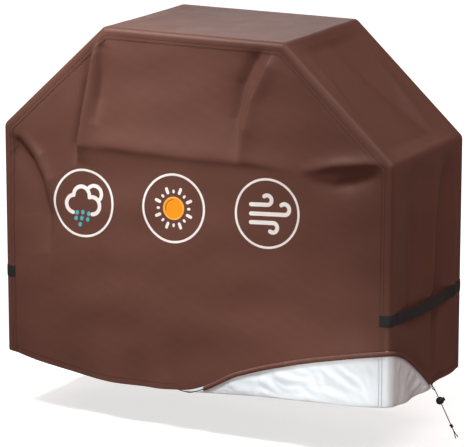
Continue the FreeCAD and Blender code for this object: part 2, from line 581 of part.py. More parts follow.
plungerBack = -dim("spring_seat") + dim("spring_free")
capBack = dim("lock_radius") + dim("cap_standoff")
plunger = Part.makeCylinder(dim("plunger_radius"), capBack - plungerBack, vector(plungerBack, 0, 0), xAxis)
cap = Part.makeCylinder(dim("button_radius"), dim("button_cap"), vector(capBack, 0, 0), xAxis)
capRim = [e for e in cap.Edges if e.BoundBox.XLength < 0.01 and e.BoundBox.XMin > capBack + 1]
plungerSlot = Part.makeBox(2 * cordHalf + dim("button_travel"), 2 * slotHalfY, 60,
                           vector(-cordHalf, -slotHalfY, -30))
button = plunger.fuse(cap.makeFillet(dim("button_cap") / 3, capRim)).cut(plungerSlot)
lockButton = onTail("cord_lock_button", button, dim("lock_at"))

springTurns, springSteps, springPlay = 3, 12, 0.05
wire = dim("spring_wire")
springRise = (dim("spring_free") - wire - 2 * springPlay) / (springTurns * springSteps)
coilPoints = []
for step in range(springTurns * springSteps + 1):
    angle = 2 * math.pi * step / springSteps
    coilPoints.append(vector(-dim("spring_seat") + wire / 2 + springPlay + springRise * step,
                             dim("spring_radius") * math.cos(angle),
                             dim("spring_radius") * math.sin(angle)))
coilPath, coilRadii = tangentPath(coilPoints, {})
coilEnd = Part.Circle(coilPoints[0], coilPoints[1] - coilPoints[0], wire / 2)
coil = coilPath.makePipeShell([Part.Wire([coilEnd.toShape()])], True, False)
lockSpring = onTail("cord_lock_spring", coil, dim("lock_at"))

knotHalf = dim("knot_length") / 2
knotShape = Part.makeCylinder(dim("knot_radius"), dim("knot_length"), vector(0, 0, -knotHalf))
knotShape = knotShape.makeFillet(dim("knot_round"), [e for e in knotShape.Edges
                                                     if isinstance(e.Curve, Part.Circle)])
knot = onTail("cord_knot", knotShape, dim("knot_at"))

tips = []
for sign in (-1, 1):
    acrossHere = tailAcross * (sign * dim("strand_spacing") / 2)
    below = alongTail(dim("knot_at") + knotHalf) + acrossHere
    spread = tailOut * (sign * dim("tip_spread")) + tailAcross * sign
    path, radii = tangentPath([below, below + tailDown * (0.35 * dim("tip_length")),
                               below + tailDown * dim("tip_length") + spread], {})
    ring = Part.Wire([Part.Circle(below, tailDown, dim("drawcord_diameter") / 2).toShape()])
    tips.append(path.makePipeShell([ring], True, False))
cordTips = doc.addObject("Part::Feature", "cord_tips")
cordTips.Shape = Part.makeCompound(tips)

# ---- transfer prints on the front panel: rain, sun and wind, drawn in strokes with round ends
filmFace = -dim("cover_depth") / 2 + dim("fabric_gauge") - dim("film_gauge")
film = dim("film_gauge")
stroke = dim("icon_stroke")


def iconCentre(index):
    return vector(dim("print_first_x") + index * dim("print_pitch"), filmFace,
                  hemZ() + dim("print_height") + (index - 1) * dim("print_climb"))


def disc(middle, size):
    return Part.makeCylinder(size, film, middle, vector(0, 1, 0))


def offset(middle, x, z):
    return middle + vector(x, 0, z)


def ray(middle, size, degrees):
    return offset(middle, size * math.cos(math.radians(degrees)), size * math.sin(math.radians(degrees)))


def bar(start, end, width):
    """A straight stroke, between two points of the print's plane."""
    block = Part.makeBox((end - start).Length, width, film, vector(0, -width / 2, 0))
    turn = FreeCAD.Rotation(end - start, vector(0, 0, 0), vector(0, 1, 0), "XZY")
    block.Placement = FreeCAD.Placement(start, turn)
    return block.fuse([disc(start, width / 2), disc(end, width / 2)])


def arcStroke(middle, size, width, first, last):
    """A curved stroke about a point, from one angle to a larger one, in degrees from +X to +Z."""
    halfway = (first + last) / 2
    inner, outer = size - width / 2, size + width / 2
    edges = [Part.Arc(ray(middle, outer, first), ray(middle, outer, halfway), ray(middle, outer, last)),
             Part.LineSegment(ray(middle, outer, last), ray(middle, inner, last)),
             Part.Arc(ray(middle, inner, last), ray(middle, inner, halfway), ray(middle, inner, first)),
             Part.LineSegment(ray(middle, inner, first), ray(middle, outer, first))]
    band = Part.Face(Part.Wire([edge.toShape() for edge in edges])).extrude(vector(0, film, 0))
    return band.fuse([disc(ray(middle, size, first), width / 2), disc(ray(middle, size, last), width / 2)])


def border(middle):
    return disc(middle, dim("print_radius")).cut(disc(middle, dim("print_radius") - dim("print_ring")))


def printed(name, shape):
    piece = doc.addObject("Part::Feature", name)
    piece.Shape = shape.removeSplitter()
    return piece


rain, sun, wind = iconCentre(0), iconCentre(1), iconCentre(2)
cloudLobes = ((-39, -4, 30, 92, 261), (-8, 25, 32, -7, 178), (34, -7, 30, -90, 110))
cloud = [arcStroke(offset(rain, x, z), size, stroke, first, last)
         for x, z, size, first, last in cloudLobes]
backCloud = arcStroke(offset(rain, 42, 33), 29, stroke - 1, -35, 135)
rainWhite = printed("rain_print_white", border(rain).fuse(cloud + [backCloud]))
dropPlaces = ((-27, -34), (-4, -32), (20, -36), (-32, -54), (-9, -53), (15, -56), (-16, -75))
drops = [bar(offset(rain, x + 0.5, z + 1.5), offset(rain, x - 0.5, z - 1.5), stroke - 1)
         for x, z in dropPlaces]
rainDrops = printed("rain_print_drops", Part.makeCompound(drops))

sunRays = []
for index in range(16):
    angle = index * 22.5
    width, far = (9, 64) if index % 2 == 0 else (11, 76)
    sunRays.append(bar(ray(sun, 51 + width / 2, angle), ray(sun, far - width / 2, angle), width))
sunWhite = printed("sun_print_white", border(sun).fuse(sunRays))
sunDisc = printed("sun_print_disc", disc(sun, dim("sun_radius")))

gusts = []
for height, endX, curl, upward in ((29, 0, 16, 1), (-2, 63, 18, 1), (-31, 21, 16, -1)):
    gusts.append(bar(offset(wind, -59, height), offset(wind, endX, height), stroke))
    sweep = (-90, 130) if upward > 0 else (-130, 90)
    gusts.append(arcStroke(offset(wind, endX, height + upward * curl), curl, stroke, *sweep))
windWhite = printed("wind_print_white", border(wind).fuse(gusts))

# ---- the pieces, by the names of their files
pieces = {
    "wrap_panel": wrapPanel, "front_panel": frontPanel, "back_panel": backPanel,
    "front_seam_stitching": frontStitching, "back_seam_stitching": backStitching,
    "hem_casing": hemCasing, "hem_stitching": hemStitching, "hem_drawcord": hemDrawcord,
    "drawcord_strand_front": strandFront, "drawcord_strand_rear": strandRear,
    "cord_lock_body": lockBody, "cord_lock_button": lockButton, "cord_lock_spring": lockSpring,
    "cord_knot": knot, "cord_tips": cordTips,
    "rain_print_white": rainWhite, "rain_print_drops": rainDrops,
    "sun_print_white": sunWhite, "sun_print_disc": sunDisc, "wind_print_white": windWhite,
}
pieces.update(handles)
doc.recompute()
for obj in doc.Objects:
    if "Invalid" in obj.State or "Error" in obj.State:
        raise RuntimeError("%s failed: %s" % (obj.Label, obj.State))
os.makedirs("parts", exist_ok=True)
for label, piece in pieces.items():
    piece.Label = label
    shape = piece.Shape
    if shape.isNull() or not shape.isValid() or not shape.Solids:
        raise RuntimeError("%s has no valid solid" % label)
    shape.exportStep("parts/%s.step" % label)
    size = shape.BoundBox
    print("%-24s %2d solids %10.0f mm3  x %.1f..%.1f  y %.1f..%.1f  z %.1f..%.1f"
          % (label, len(shape.Solids), shape.Volume, size.XMin, size.XMax, size.YMin, size.YMax,
             size.ZMin, size.ZMax))
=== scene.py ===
import math

import bpy
import numpy as np
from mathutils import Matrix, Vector


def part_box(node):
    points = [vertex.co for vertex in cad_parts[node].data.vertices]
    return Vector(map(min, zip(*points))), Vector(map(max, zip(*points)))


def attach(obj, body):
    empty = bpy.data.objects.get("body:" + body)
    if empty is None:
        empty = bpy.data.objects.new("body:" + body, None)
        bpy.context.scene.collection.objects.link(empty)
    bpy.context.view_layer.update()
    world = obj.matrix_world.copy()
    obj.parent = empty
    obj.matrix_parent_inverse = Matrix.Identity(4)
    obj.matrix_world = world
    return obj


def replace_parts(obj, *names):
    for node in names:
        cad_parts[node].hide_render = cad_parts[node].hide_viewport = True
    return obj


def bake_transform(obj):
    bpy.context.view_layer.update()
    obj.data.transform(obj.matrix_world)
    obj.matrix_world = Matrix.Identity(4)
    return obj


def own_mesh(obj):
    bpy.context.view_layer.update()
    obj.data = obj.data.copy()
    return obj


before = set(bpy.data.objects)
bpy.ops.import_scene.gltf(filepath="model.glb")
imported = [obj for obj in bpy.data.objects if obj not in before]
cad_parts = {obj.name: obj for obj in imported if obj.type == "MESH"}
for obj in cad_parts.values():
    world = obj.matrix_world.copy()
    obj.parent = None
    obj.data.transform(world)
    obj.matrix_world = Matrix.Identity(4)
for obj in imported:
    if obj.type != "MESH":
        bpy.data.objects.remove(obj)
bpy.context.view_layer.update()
scene = bpy.context.scene
scene.view_settings.view_transform = "Standard"

# the cover's own sizes, the ones that its frame is built to
cover = {
    "topHalf": 0.3375,        # half the flat top
    "slopeDrop": 0.366,       # from the top to the shoulders
    "skirtDrop": 0.800,       # from the shoulders to the hem's corners
    "seamInset": 0.040,       # edge of the wrap's flange
    "panelInset": 0.025,      # edge of the front and back panels, under the flange
    "rows": (0.0265, 0.037),  # the two rows of topstitch
    "outlineBend": 0.026,
    "edgeBend": 0.018,
    "gauge": 0.001,
    "sideBow": 0.018,
    "turnStart": -0.045,      # where the turned-up corner begins on the front
    "turnHeight": 0.188,
    "turnEnd": 0.042,         # where it ends on the side
    "turnSideBow": 0.026,
    "turnGap": 0.004,
    "casing": 0.018,
}
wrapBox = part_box("wrap_panel")
halfWidth = -wrapBox[0][0]
halfDepth = wrapBox[1][1]
topZ = wrapBox[1][2]
shoulderZ = topZ - cover["slopeDrop"]
hemZ = shoulderZ - cover["skirtDrop"]
slopeAngle = math.atan2(cover["slopeDrop"], halfWidth - cover["topHalf"])
frontY = -halfDepth


# small helpers
def floats(values):
    return np.asarray(values, float)


def smooth(low, high, value):
    t = np.clip((value - low) / (high - low), 0, 1)
    return t * t * (3 - 2 * t)


def deselectAll():
    if bpy.context.object and bpy.context.object.mode != "OBJECT":
        bpy.ops.object.mode_set(mode="OBJECT")
    bpy.ops.object.select_all(action="DESELECT")


def makeActive(piece):
    deselectAll()
    piece.select_set(True)
    bpy.context.view_layer.objects.active = piece


def applyModifiers(piece):
    makeActive(piece)
    for modifier in list(piece.modifiers):
        bpy.ops.object.modifier_apply(modifier=modifier.name)


def getPoints(piece):
    points = np.empty(len(piece.data.vertices) * 3)
    piece.data.vertices.foreach_get("co", points)
    return points.reshape(-1, 3)


def setPoints(piece, points):
    piece.data.vertices.foreach_set("co", np.asarray(points, float).ravel())
    piece.data.update()


# steps are mesh operators, each on the whole piece
def editAll(piece, *steps):
    makeActive(piece)
    bpy.ops.object.mode_set(mode="EDIT")
    for step in steps:
        bpy.ops.mesh.select_all(action="SELECT")
        step()
    bpy.ops.object.mode_set(mode="OBJECT")


def mergeDoubles():
    bpy.ops.mesh.remove_doubles(threshold=0.000005)


def facesOutward():
    bpy.ops.mesh.normals_make_consistent(inside=False)


def meanNormal(piece):
    normals = np.empty(len(piece.data.polygons) * 3)
    piece.data.polygons.foreach_get("normal", normals)
    return normals.reshape(-1, 3).mean(axis=0)


# turns a sheet's faces to look the given way
def faceTowards(piece, direction):
    if meanNormal(piece) @ floats(direction) < 0:
        editAll(piece, bpy.ops.mesh.flip_normals)


# deletes the chosen faces ("polygons", "FACE") or points ("vertices", "VERT")
def deleteChosen(piece, layer, kind, chosen):
    makeActive(piece)
    bpy.ops.object.mode_set(mode="EDIT")
    bpy.ops.mesh.select_mode(type=kind)
    bpy.ops.mesh.select_all(action="DESELECT")
    bpy.ops.object.mode_set(mode="OBJECT")
    getattr(piece.data, layer).foreach_set("select", chosen)
    bpy.ops.object.mode_set(mode="EDIT")
    bpy.ops.mesh.delete(type=kind)
    bpy.ops.object.mode_set(mode="OBJECT")


# a grid primitive whose vertices are laid at places[row][column], less the ones not in kept
def gridPiece(name, places, kept=None):
    rows, columns = places.shape[:2]
    deselectAll()
    bpy.ops.mesh.primitive_grid_add(x_subdivisions=columns - 1, y_subdivisions=rows - 1, size=2)
    piece = bpy.context.object
    piece.name = name
    flat = getPoints(piece)
    column = np.rint((flat[:, 0] + 1) / 2 * (columns - 1)).astype(int)
    row = np.rint((flat[:, 1] + 1) / 2 * (rows - 1)).astype(int)
    setPoints(piece, places[row, column])
    if kept is not None:
        deleteChosen(piece, "vertices", "VERT", ~kept[row, column])
    return piece


def thicken(piece, gauge, inside=0):
    solid = piece.modifiers.new("thickness", "SOLIDIFY")
    solid.thickness = gauge
    solid.offset = -1
    solid.use_even_offset = False
    solid.material_offset = inside
    applyModifiers(piece)


def shadeSmooth(piece, angle=40):
    makeActive(piece)
    bpy.ops.object.shade_smooth_by_angle(angle=math.radians(angle))


# the cover's outline, hem and turned-up corner

# the right half of the front outline, drawn in by inset: top corner and shoulder
def inwardCorners(inset):
    topX = cover["topHalf"] - inset * math.tan(slopeAngle / 2)
    shoulder = shoulderZ - inset * math.tan(math.pi / 4 - slopeAngle / 2)
    return (topX, topZ - inset), (halfWidth - inset, shoulder)


def roofLine(x, inset):
    (topX, top), (sideX, shoulder) = inwardCorners(inset)
    return np.interp(np.abs(x), [topX, sideX], [top, shoulder])


hemDrops = {-0.735: 0.0, -0.60: -0.0235, -0.45: -0.0425, -0.25: -0.0590, -0.10: -0.0545, 0.0: -0.0420,
            0.20: -0.0290, 0.35: -0.0225, 0.55: -0.0130, 0.69: -0.0035, 0.735: 0.0}
hemCurve = np.polynomial.Polynomial.fit(list(hemDrops), list(hemDrops.values()), 6)


# the hem hangs lower left of the middle than right of it, and meets its corners
def frontHem(x):
    x = np.clip(x, -halfWidth, halfWidth)
    return hemZ + hemCurve(x) * smooth(0.0, 0.02, halfWidth - np.abs(x))


def sideHem(y):
    return hemZ - cover["sideBow"] * (1 - np.clip(np.abs(y) / halfDepth, 0, 1) ** 2)


# the edge of the turned-up corner: it leaves the hem smoothly, then runs nearly straight
def turnTopFront(x):
    t = np.clip((x - cover["turnStart"]) / (halfWidth - cover["turnStart"]), 0, 1)
    rise = cover["turnHeight"] * (t + 0.10 * np.sin(math.pi * t)) * smooth(-0.04, 0.30, t)
    return frontHem(x) * (1 - t) + hemZ * t + rise - 0.001 * (t <= 0)


# the edge of the turned-up corner along the side: a line that is bowed upwards
def turnTopSide(y):
    t = np.clip((y - frontY) / (cover["turnEnd"] - frontY), 0, 1)
    end = hemZ - cover["sideBow"] / 2
    line = hemZ + cover["turnHeight"] + (end - hemZ - cover["turnHeight"]) * t
    return line + 4 * cover["turnSideBow"] * 1.15 * t * (1 - t)


# how the cloth hangs: one field of small shifts that every piece of the cover shares

# each fold: its side, its path, its height, and how wide it is before and after its line
folds = [
    # left part of the front, from the top's corner down to the rain print
    ("front", [(-0.330, 0.0), (-0.363, -0.062), (-0.391, -0.216), (-0.422, -0.402), (-0.43, -0.47)],
     [0.0, 0.012, 0.013, 0.011, 0.0], 0.007, 0.048),
    ("front", [(-0.335, -0.03), (-0.339, -0.071), (-0.337, -0.162), (-0.345, -0.241), (-0.358, -0.33)],
     [0.0, -0.009, -0.009, -0.008, 0.0], 0.022, 0.022),
    ("front", [(-0.375, -0.06), (-0.402, -0.216), (-0.436, -0.402), (-0.44, -0.48)],
     [0.0, -0.010, -0.009, 0.0], 0.016, 0.008),
    # right part of the front
    ("front", [(0.275, -0.01), (0.241, -0.062), (0.197, -0.152), (0.175, -0.264), (0.182, -0.41)],
     [0.0, -0.010, -0.012, -0.010, 0.0], 0.035, 0.012),
    ("front", [(0.31, -0.02), (0.285, -0.075), (0.23, -0.189), (0.208, -0.29), (0.193, -0.41)],
     [0.0, 0.009, 0.011, 0.010, 0.0], 0.008, 0.045),
    # the break that runs across at the shoulders' level
    ("front", [(-0.46, -0.40), (-0.30, -0.396), (0.0, -0.402), (0.25, -0.396), (0.42, -0.41)],
     [0.0, 0.006, 0.005, 0.006, 0.0], 0.025, 0.07),
    # right shoulder: a ridge with a hollow beneath
    ("front", [(0.715, -0.352), (0.683, -0.359), (0.608, -0.369), (0.533, -0.380), (0.396, -0.418)],
     [0.0, 0.007, 0.011, 0.010, 0.0], 0.03, 0.018),
    ("front", [(0.70, -0.392), (0.655, -0.408), (0.584, -0.436), (0.534, -0.450), (0.42, -0.437)],
     [0.0, -0.006, -0.010, -0.006, 0.0], 0.024, 0.034),
    # left shoulder: a fold that falls away from the corner
    ("front", [(-0.725, -0.405), (-0.676, -0.427), (-0.625, -0.482), (-0.59, -0.544), (-0.56, -0.663),
               (-0.553, -0.80)],
     [0.0, -0.010, -0.016, -0.019, -0.013, -0.002], 0.075, 0.022),
    ("front", [(-0.70, -0.39), (-0.64, -0.405), (-0.585, -0.46), (-0.55, -0.54), (-0.52, -0.66)],
     [0.0, 0.003, 0.008, 0.008, 0.0], 0.05, 0.02),
    # the back hangs in its own folds
    ("back", [(-0.31, -0.01), (-0.29, -0.12), (-0.25, -0.28), (-0.24, -0.44)],
     [0.0, 0.011, 0.011, 0.0], 0.016, 0.05),
    ("back", [(0.32, -0.01), (0.33, -0.10), (0.36, -0.24), (0.41, -0.45)],
     [0.0, 0.012, 0.010, 0.0], 0.045, 0.014),
    ("back", [(0.715, -0.36), (0.62, -0.385), (0.50, -0.43), (0.36, -0.45)],
     [0.0, 0.010, 0.009, 0.0], 0.02, 0.045),
    ("back", [(-0.715, -0.36), (-0.62, -0.41), (-0.55, -0.50), (-0.53, -0.66)],
     [0.0, -0.010, -0.011, 0.0], 0.03, 0.03),
    ("back", [(0.05, -0.42), (0.02, -0.60), (-0.02, -0.82), (-0.03, -1.02)],
     [0.0, 0.006, 0.008, 0.0], 0.05, 0.03),
    # the right side hangs in upright folds from the shoulder
    ("right", [(0.155, -0.40), (0.13, -0.60), (0.115, -0.80), (0.10, -0.98), (0.10, -1.12)],
     [0.0, -0.016, -0.018, -0.013, -0.004], 0.03, 0.03),
    ("right", [(0.06, -0.39), (0.035, -0.56), (0.02, -0.78), (0.03, -1.0)],
     [0.0, 0.009, 0.010, 0.0], 0.035, 0.05),
    ("right", [(-0.13, -0.40), (-0.11, -0.58), (-0.10, -0.80), (-0.12, -0.96)],
     [0.0, -0.007, -0.008, 0.0], 0.04, 0.035),
    ("right", [(0.215, -0.42), (0.205, -0.64), (0.20, -0.86), (0.20, -1.05)],
     [0.0, 0.006, 0.006, 0.0], 0.02, 0.03),
    ("left", [(-0.13, -0.40), (-0.10, -0.60), (-0.09, -0.82), (-0.11, -1.08)],
     [0.0, -0.014, -0.015, -0.004], 0.03, 0.04),
    ("left", [(0.07, -0.40), (0.09, -0.60), (0.11, -0.84), (0.10, -1.05)],
     [0.0, -0.012, -0.012, 0.0], 0.03, 0.03),
    ("left", [(-0.02, -0.42), (-0.01, -0.66), (0.0, -0.9)],
     [0.0, 0.008, 0.0], 0.05, 0.05),
    # creases that run down the slopes
    ("slopeRight", [(-0.19, 0.02), (-0.20, 0.18), (-0.23, 0.40)], [0.0, 0.007, 0.0], 0.03, 0.04),
    ("slopeRight", [(0.02, 0.04), (0.06, 0.24), (0.13, 0.46)], [0.0, -0.010, -0.008], 0.05, 0.04),
    ("slopeRight", [(0.20, 0.10), (0.17, 0.30), (0.16, 0.50)], [0.0, 0.006, 0.0], 0.03, 0.03),
    ("slopeLeft", [(-0.16, 0.04), (-0.12, 0.24), (-0.10, 0.48)], [0.0, -0.009, -0.006], 0.05, 0.04),
    ("slopeLeft", [(0.12, 0.03), (0.11, 0.26), (0.09, 0.50)], [0.0, -0.009, -0.006], 0.04, 0.05),
]
# how much of each fold's height its side shows
foldGain = {"front": 1.85, "back": 1.4, "right": 1.95, "left": 1.4, "slopeRight": 1.3, "slopeLeft": 1.3}


# how far the fold lifts the cloth, at u across and v up on its side
def foldHeight(u, v, fold):
    side, path, heights, before, after = fold
    path = np.array(path)
    best = np.full(u.shape, np.inf)
    lift = np.zeros(u.shape)
    for index in range(len(path) - 1):
        start, along = path[index], path[index + 1] - path[index]
        length = float(np.hypot(*along))
        t = np.clip(((u - start[0]) * along[0] + (v - start[1]) * along[1]) / length ** 2, 0, 1)
        offU = u - start[0] - along[0] * t
        offV = v - start[1] - along[1] * t
        away = np.hypot(offU, offV)
        hand = along[0] * offV - along[1] * offU
        width = np.where(hand > 0, after, before)
        height = heights[index] + (heights[index + 1] - heights[index]) * t
        nearer = away < best
        best = np.where(nearer, away, best)
        lift = np.where(nearer, height / (1 + (away / width) ** 2) ** 1.5, lift)
    return lift * foldGain[side]


# low, smooth unevenness, the same on every run
def waves(u, v, seed, size, count=7):
    chance = np.random.default_rng(seed)
    total = np.zeros(u.shape)
    for index in range(count):
        turn = chance.uniform(0, math.pi)
        pitch = size * chance.uniform(0.6, 1.6)
        phase = chance.uniform(0, 2 * math.pi)
        total += np.sin(2 * math.pi * (u * math.cos(turn) + v * math.sin(turn)) / pitch + phase)
    return total / count ** 0.5


def foldsOn(side, u, v):
    total = np.zeros(u.shape)
    for fold in folds:
        if fold[0] == side:
            total += foldHeight(u, v, fold)
    return total


# where the points of the flat-sided cover lie once its cloth has settled
def drape(points):
    points = floats(points)
    x, y, z = points[:, 0], points[:, 1], points[:, 2]
    moved = points.copy()
    # how close a point is to the front, the back, the sides and the top
    toEdge = roofLine(x, 0.0) - z
    nearRim = smooth(0.0, 0.075, toEdge) * smooth(0.0, 0.06, halfWidth - np.abs(x))
    front = smooth(0.018, 0.004, y - frontY)
    back = smooth(0.018, 0.004, halfDepth - y)
    right = smooth(0.03, 0.012, halfWidth - x) * smooth(0.0, 0.05, shoulderZ - z)
    left = smooth(0.03, 0.012, halfWidth + x) * smooth(0.0, 0.05, shoulderZ - z)
    inFromEnds = smooth(0.0, 0.07, halfDepth - np.abs(y))
    aboveHem = z - frontHem(x)
    # front and back
    bow = 0.020 * (1 - np.clip(np.abs(x) / halfWidth, 0, 1) ** 3) * smooth(0.0, -0.45, z)
    bow = bow * (1 - 0.4 * smooth(-0.95, -1.16, z))
    out = foldsOn("front", x, z) + 0.0016 * waves(x, z, 3, 0.23)
    out += 0.0002 * waves(x, z, 5, 0.06, 9)
    hemWave = 0.004 * np.exp(-np.clip(aboveHem, 0, None) / 0.12)
    hemWave = hemWave * np.sin(x * 31 + 2 * np.sin(x * 7)) * smooth(0.06, -0.12, x)
    moved[:, 1] -= front * nearRim * (out + bow + hemWave)
    out = foldsOn("back", x, z) + 0.0016 * waves(x, z, 13, 0.21) + 0.8 * bow
    out += 0.004 * np.exp(-np.clip(aboveHem, 0, None) / 0.12) * np.sin(x * 29 + 1.5 * np.sin(x * 6))
    moved[:, 1] += back * nearRim * out
    # sides: drawn in a little between the corners
    for name, mask, sign, seed in (("right", right, 1, 23), ("left", left, -1, 33)):
        out = foldsOn(name, y, z) + 0.0014 * waves(y, z, seed, 0.19)
        out += 0.0002 * waves(y, z, seed + 1, 0.06, 9)
        down = smooth(0.0, 0.12, shoulderZ - z)
        out -= 0.008 * (1 - (y / halfDepth) ** 2) * down
        low = np.exp(-np.clip(z - sideHem(y), 0, None) / 0.10)
        out += 0.004 * low * np.sin(y * 34 + 1)
        moved[:, 0] += sign * mask * inFromEnds * out
    # top and slopes: sag between the front and back seams
    onRoof = smooth(0.03, 0.008, toEdge) * inFromEnds
    down = np.clip(np.abs(x) - cover["topHalf"], 0, None) / math.cos(slopeAngle)
    flat = smooth(cover["topHalf"] + 0.01, cover["topHalf"] - 0.05, np.abs(x))
    slope = smooth(cover["topHalf"] - 0.01, cover["topHalf"] + 0.05, np.abs(x))
    slope = slope * smooth(0.0, 0.05, halfWidth - np.abs(x))
    sag = -0.006 * (1 - (y / halfDepth) ** 2) + 0.0014 * waves(x, y, 43, 0.17)
    sag += 0.0002 * waves(x, y, 44, 0.06, 9)
    rightSlope = foldsOn("slopeRight", y, down) - 0.012 * (1 - (y / halfDepth) ** 2)
    leftSlope = foldsOn("slopeLeft", y, down) - 0.012 * (1 - (y / halfDepth) ** 2)
    rise = flat * sag + slope * np.where(x > 0, rightSlope + sag, leftSlope + sag)
    moved[:, 2] += onRoof * rise * np.where(slope > 0.5, math.cos(slopeAngle), 1)
    moved[:, 0] += onRoof * slope * rise * np.sign(x) * math.sin(slopeAngle)
    return moved


# materials: sockets that can be worked with as numbers

# sets or links each socket, by its name or its number
def feedSockets(node, inputs):
    for name, value in inputs.items():
        if isinstance(value, Value):
            node.id_data.links.new(value.socket, node.inputs[name])
        else:
            node.inputs[name].default_value = value


def addNode(tree, kind, settings, inputs):
    node = tree.nodes.new(kind)
    for name, value in settings.items():
        setattr(node, name, value)
    feedSockets(node, inputs)
    return node


class Value:
    def __init__(self, socket):
        self.socket = socket

    def math(self, operation, *others, clamp=False):
        return self.ofItems(operation, (self, *others), clamp)

    def ofItems(self, operation, items, clamp=False):
        settings = {"operation": operation, "use_clamp": clamp}
        node = addNode(self.socket.node.id_data, "ShaderNodeMath", settings, dict(enumerate(items)))
        return Value(node.outputs[0])

    def __add__(self, other):
        return self.math("ADD", other)

    def __sub__(self, other):
        return self.math("SUBTRACT", other)

    def __mul__(self, other):
        return self.math("MULTIPLY", other)

    def __rsub__(self, other):
        return self.ofItems("SUBTRACT", (other, self))

    __radd__ = __add__
    __rmul__ = __mul__

    def clamp(self):
        return self.math("ADD", 0.0, clamp=True)


# a material and its shader
class Look:
    def __init__(self, name):
        self.material = bpy.data.materials.new(name)
        self.material.use_nodes = True
        self.tree = self.material.node_tree
        self.shader = self.tree.nodes["Principled BSDF"]

    def node(self, kind, output, inputs, settings=None):
        return Value(addNode(self.tree, kind, settings or {}, inputs).outputs[output])

    def coordinates(self, output="Object"):
        return self.node("ShaderNodeTexCoord", output, {})

    def noise(self, scale, detail, roughness, where):
        return self.node("ShaderNodeTexNoise", 0, {"Vector": where, "Scale": scale, "Detail": detail,
                                                   "Roughness": roughness})

    def weave(self, scale, where):
        return self.node("ShaderNodeTexVoronoi", "Distance", {"Vector": where, "Scale": scale})

    def separated(self, where):
        node = addNode(self.tree, "ShaderNodeSeparateXYZ", {}, {0: where})
        return [Value(output) for output in node.outputs]

    def mix(self, factor, first, second):
        # sockets 6 and 7 are the two colours, and output 2 is the mixed one
        return self.node("ShaderNodeMix", 2, {0: factor, 6: first, 7: second}, {"data_type": "RGBA"})

    def bump(self, height, strength, distance, base=None):
        inputs = {"Height": height, "Strength": strength, "Distance": distance}
        if base:
            inputs["Normal"] = base
        return self.node("ShaderNodeBump", 0, inputs)

    def set(self, **inputs):
        feedSockets(self.shader, {name.replace("_", " "): value for name, value in inputs.items()})


# a screen colour in 0..255, as the shader's linear light
def shade(red, green, blue):
    linear = []
    for part in (red, green, blue):
        part = part / 255
        linear.append(part / 12.92 if part <= 0.04045 else ((part + 0.055) / 1.055) ** 2.4)
    return (*linear, 1.0)


# woven, coated cloth: a fine weave, slow blotches of tone and a little unevenness
def clothLook(name, colour, roughness, weave, blotch, metallic=0.0):
    look = Look(name)
    where = look.coordinates()
    threads = look.weave(weave, where)
    slow = look.noise(9.0, 4.0, 0.55, where)
    fine = look.noise(190.0, 2.0, 0.6, where)
    tone = (slow * 0.75 + fine * 0.25).clamp()
    darker = tuple(part * (1 - blotch) for part in colour[:3]) + (1.0,)
    lighter = tuple(min(1.0, part * (1 + blotch)) for part in colour[:3]) + (1.0,)
    crumple = look.noise(26.0, 3.0, 0.5, where)
    bumped = look.bump(crumple, 0.16, 0.002)
    bumped = look.bump(threads, 0.12, 0.0006, bumped)
    look.set(Base_Color=look.mix(tone, darker, lighter), Roughness=roughness + 0.12 * (tone - 0.5),
             Metallic=metallic, Normal=bumped, Specular_IOR_Level=0.36)
    return look.material


brown = clothLook("coated_brown", shade(100, 64, 53), 0.54, 900.0, 0.05)
silver = clothLook("silver_lining", shade(236, 247, 252), 0.38, 700.0, 0.03, metallic=0.05)
print("materials ready")


# panels: grids laid on the cover's flat-sided shape, then draped
turnRadius = cover["turnGap"] / 2 + 0.0005
panel = {"columns": 236, "rows": 190, "flapRows": 20}


# rows that turn up outside from the hem to the flap's top edge, column by column
def flapPlaces(x, y, hem, top, outward, rows):
    places = []
    for index in range(rows):
        t = (index + 1) / rows
        if t <= 0.2:
            angle = math.pi * t / 0.2
            off = turnRadius * (1 - math.cos(angle))
            z = hem - turnRadius * math.sin(angle)
        else:
            off = 2 * turnRadius
            z = hem + (top - hem) * (t - 0.2) / 0.8
        places.append(np.stack([x + outward[0] * off, y + outward[1] * off, z], axis=1))
    return np.stack(places)


def backPanelPiece(name):
    places = panelPlaces(1)
    return gridPiece(name, drape(places.reshape(-1, 3)).reshape(places.shape)[:, ::-1])


# the panel's flat grid, from the hem up to the roof
def panelPlaces(side):
    inset = cover["panelInset"]
    u = np.linspace(inset - halfWidth, halfWidth - inset, panel["columns"])
    roof, hem = roofLine(u, inset), frontHem(u)
    places = np.empty((panel["rows"], panel["columns"], 3))
    places[..., 0] = u
    places[..., 1] = side * (halfDepth - cover["gauge"])
    places[..., 2] = hem + (roof - hem) * np.linspace(0, 1, panel["rows"])[:, None]
    return places


def frontPanelPiece(name):
    places = panelPlaces(-1)
    u, y, hem = places[0].T
    flap = flapPlaces(u, y, hem, np.maximum(turnTopFront(u), hem), (0, -1), panel["flapRows"])
    piece = gridPiece(name, np.concatenate([flap[::-1], places]))
    centres = np.empty(len(piece.data.polygons) * 3)
    piece.data.polygons.foreach_get("center", centres)
    x, y, z = centres.reshape(-1, 3).T
    # the turned-up rows left of the corner are not there
    beyond = (y < frontY + cover["gauge"] - 0.0002) | (z < frontHem(x) - 0.0004)
    deleteChosen(piece, "polygons", "FACE", beyond & (turnTopFront(x) < frontHem(x) + 0.002))
    setPoints(piece, drapeFlap(getPoints(piece)))
    return piece


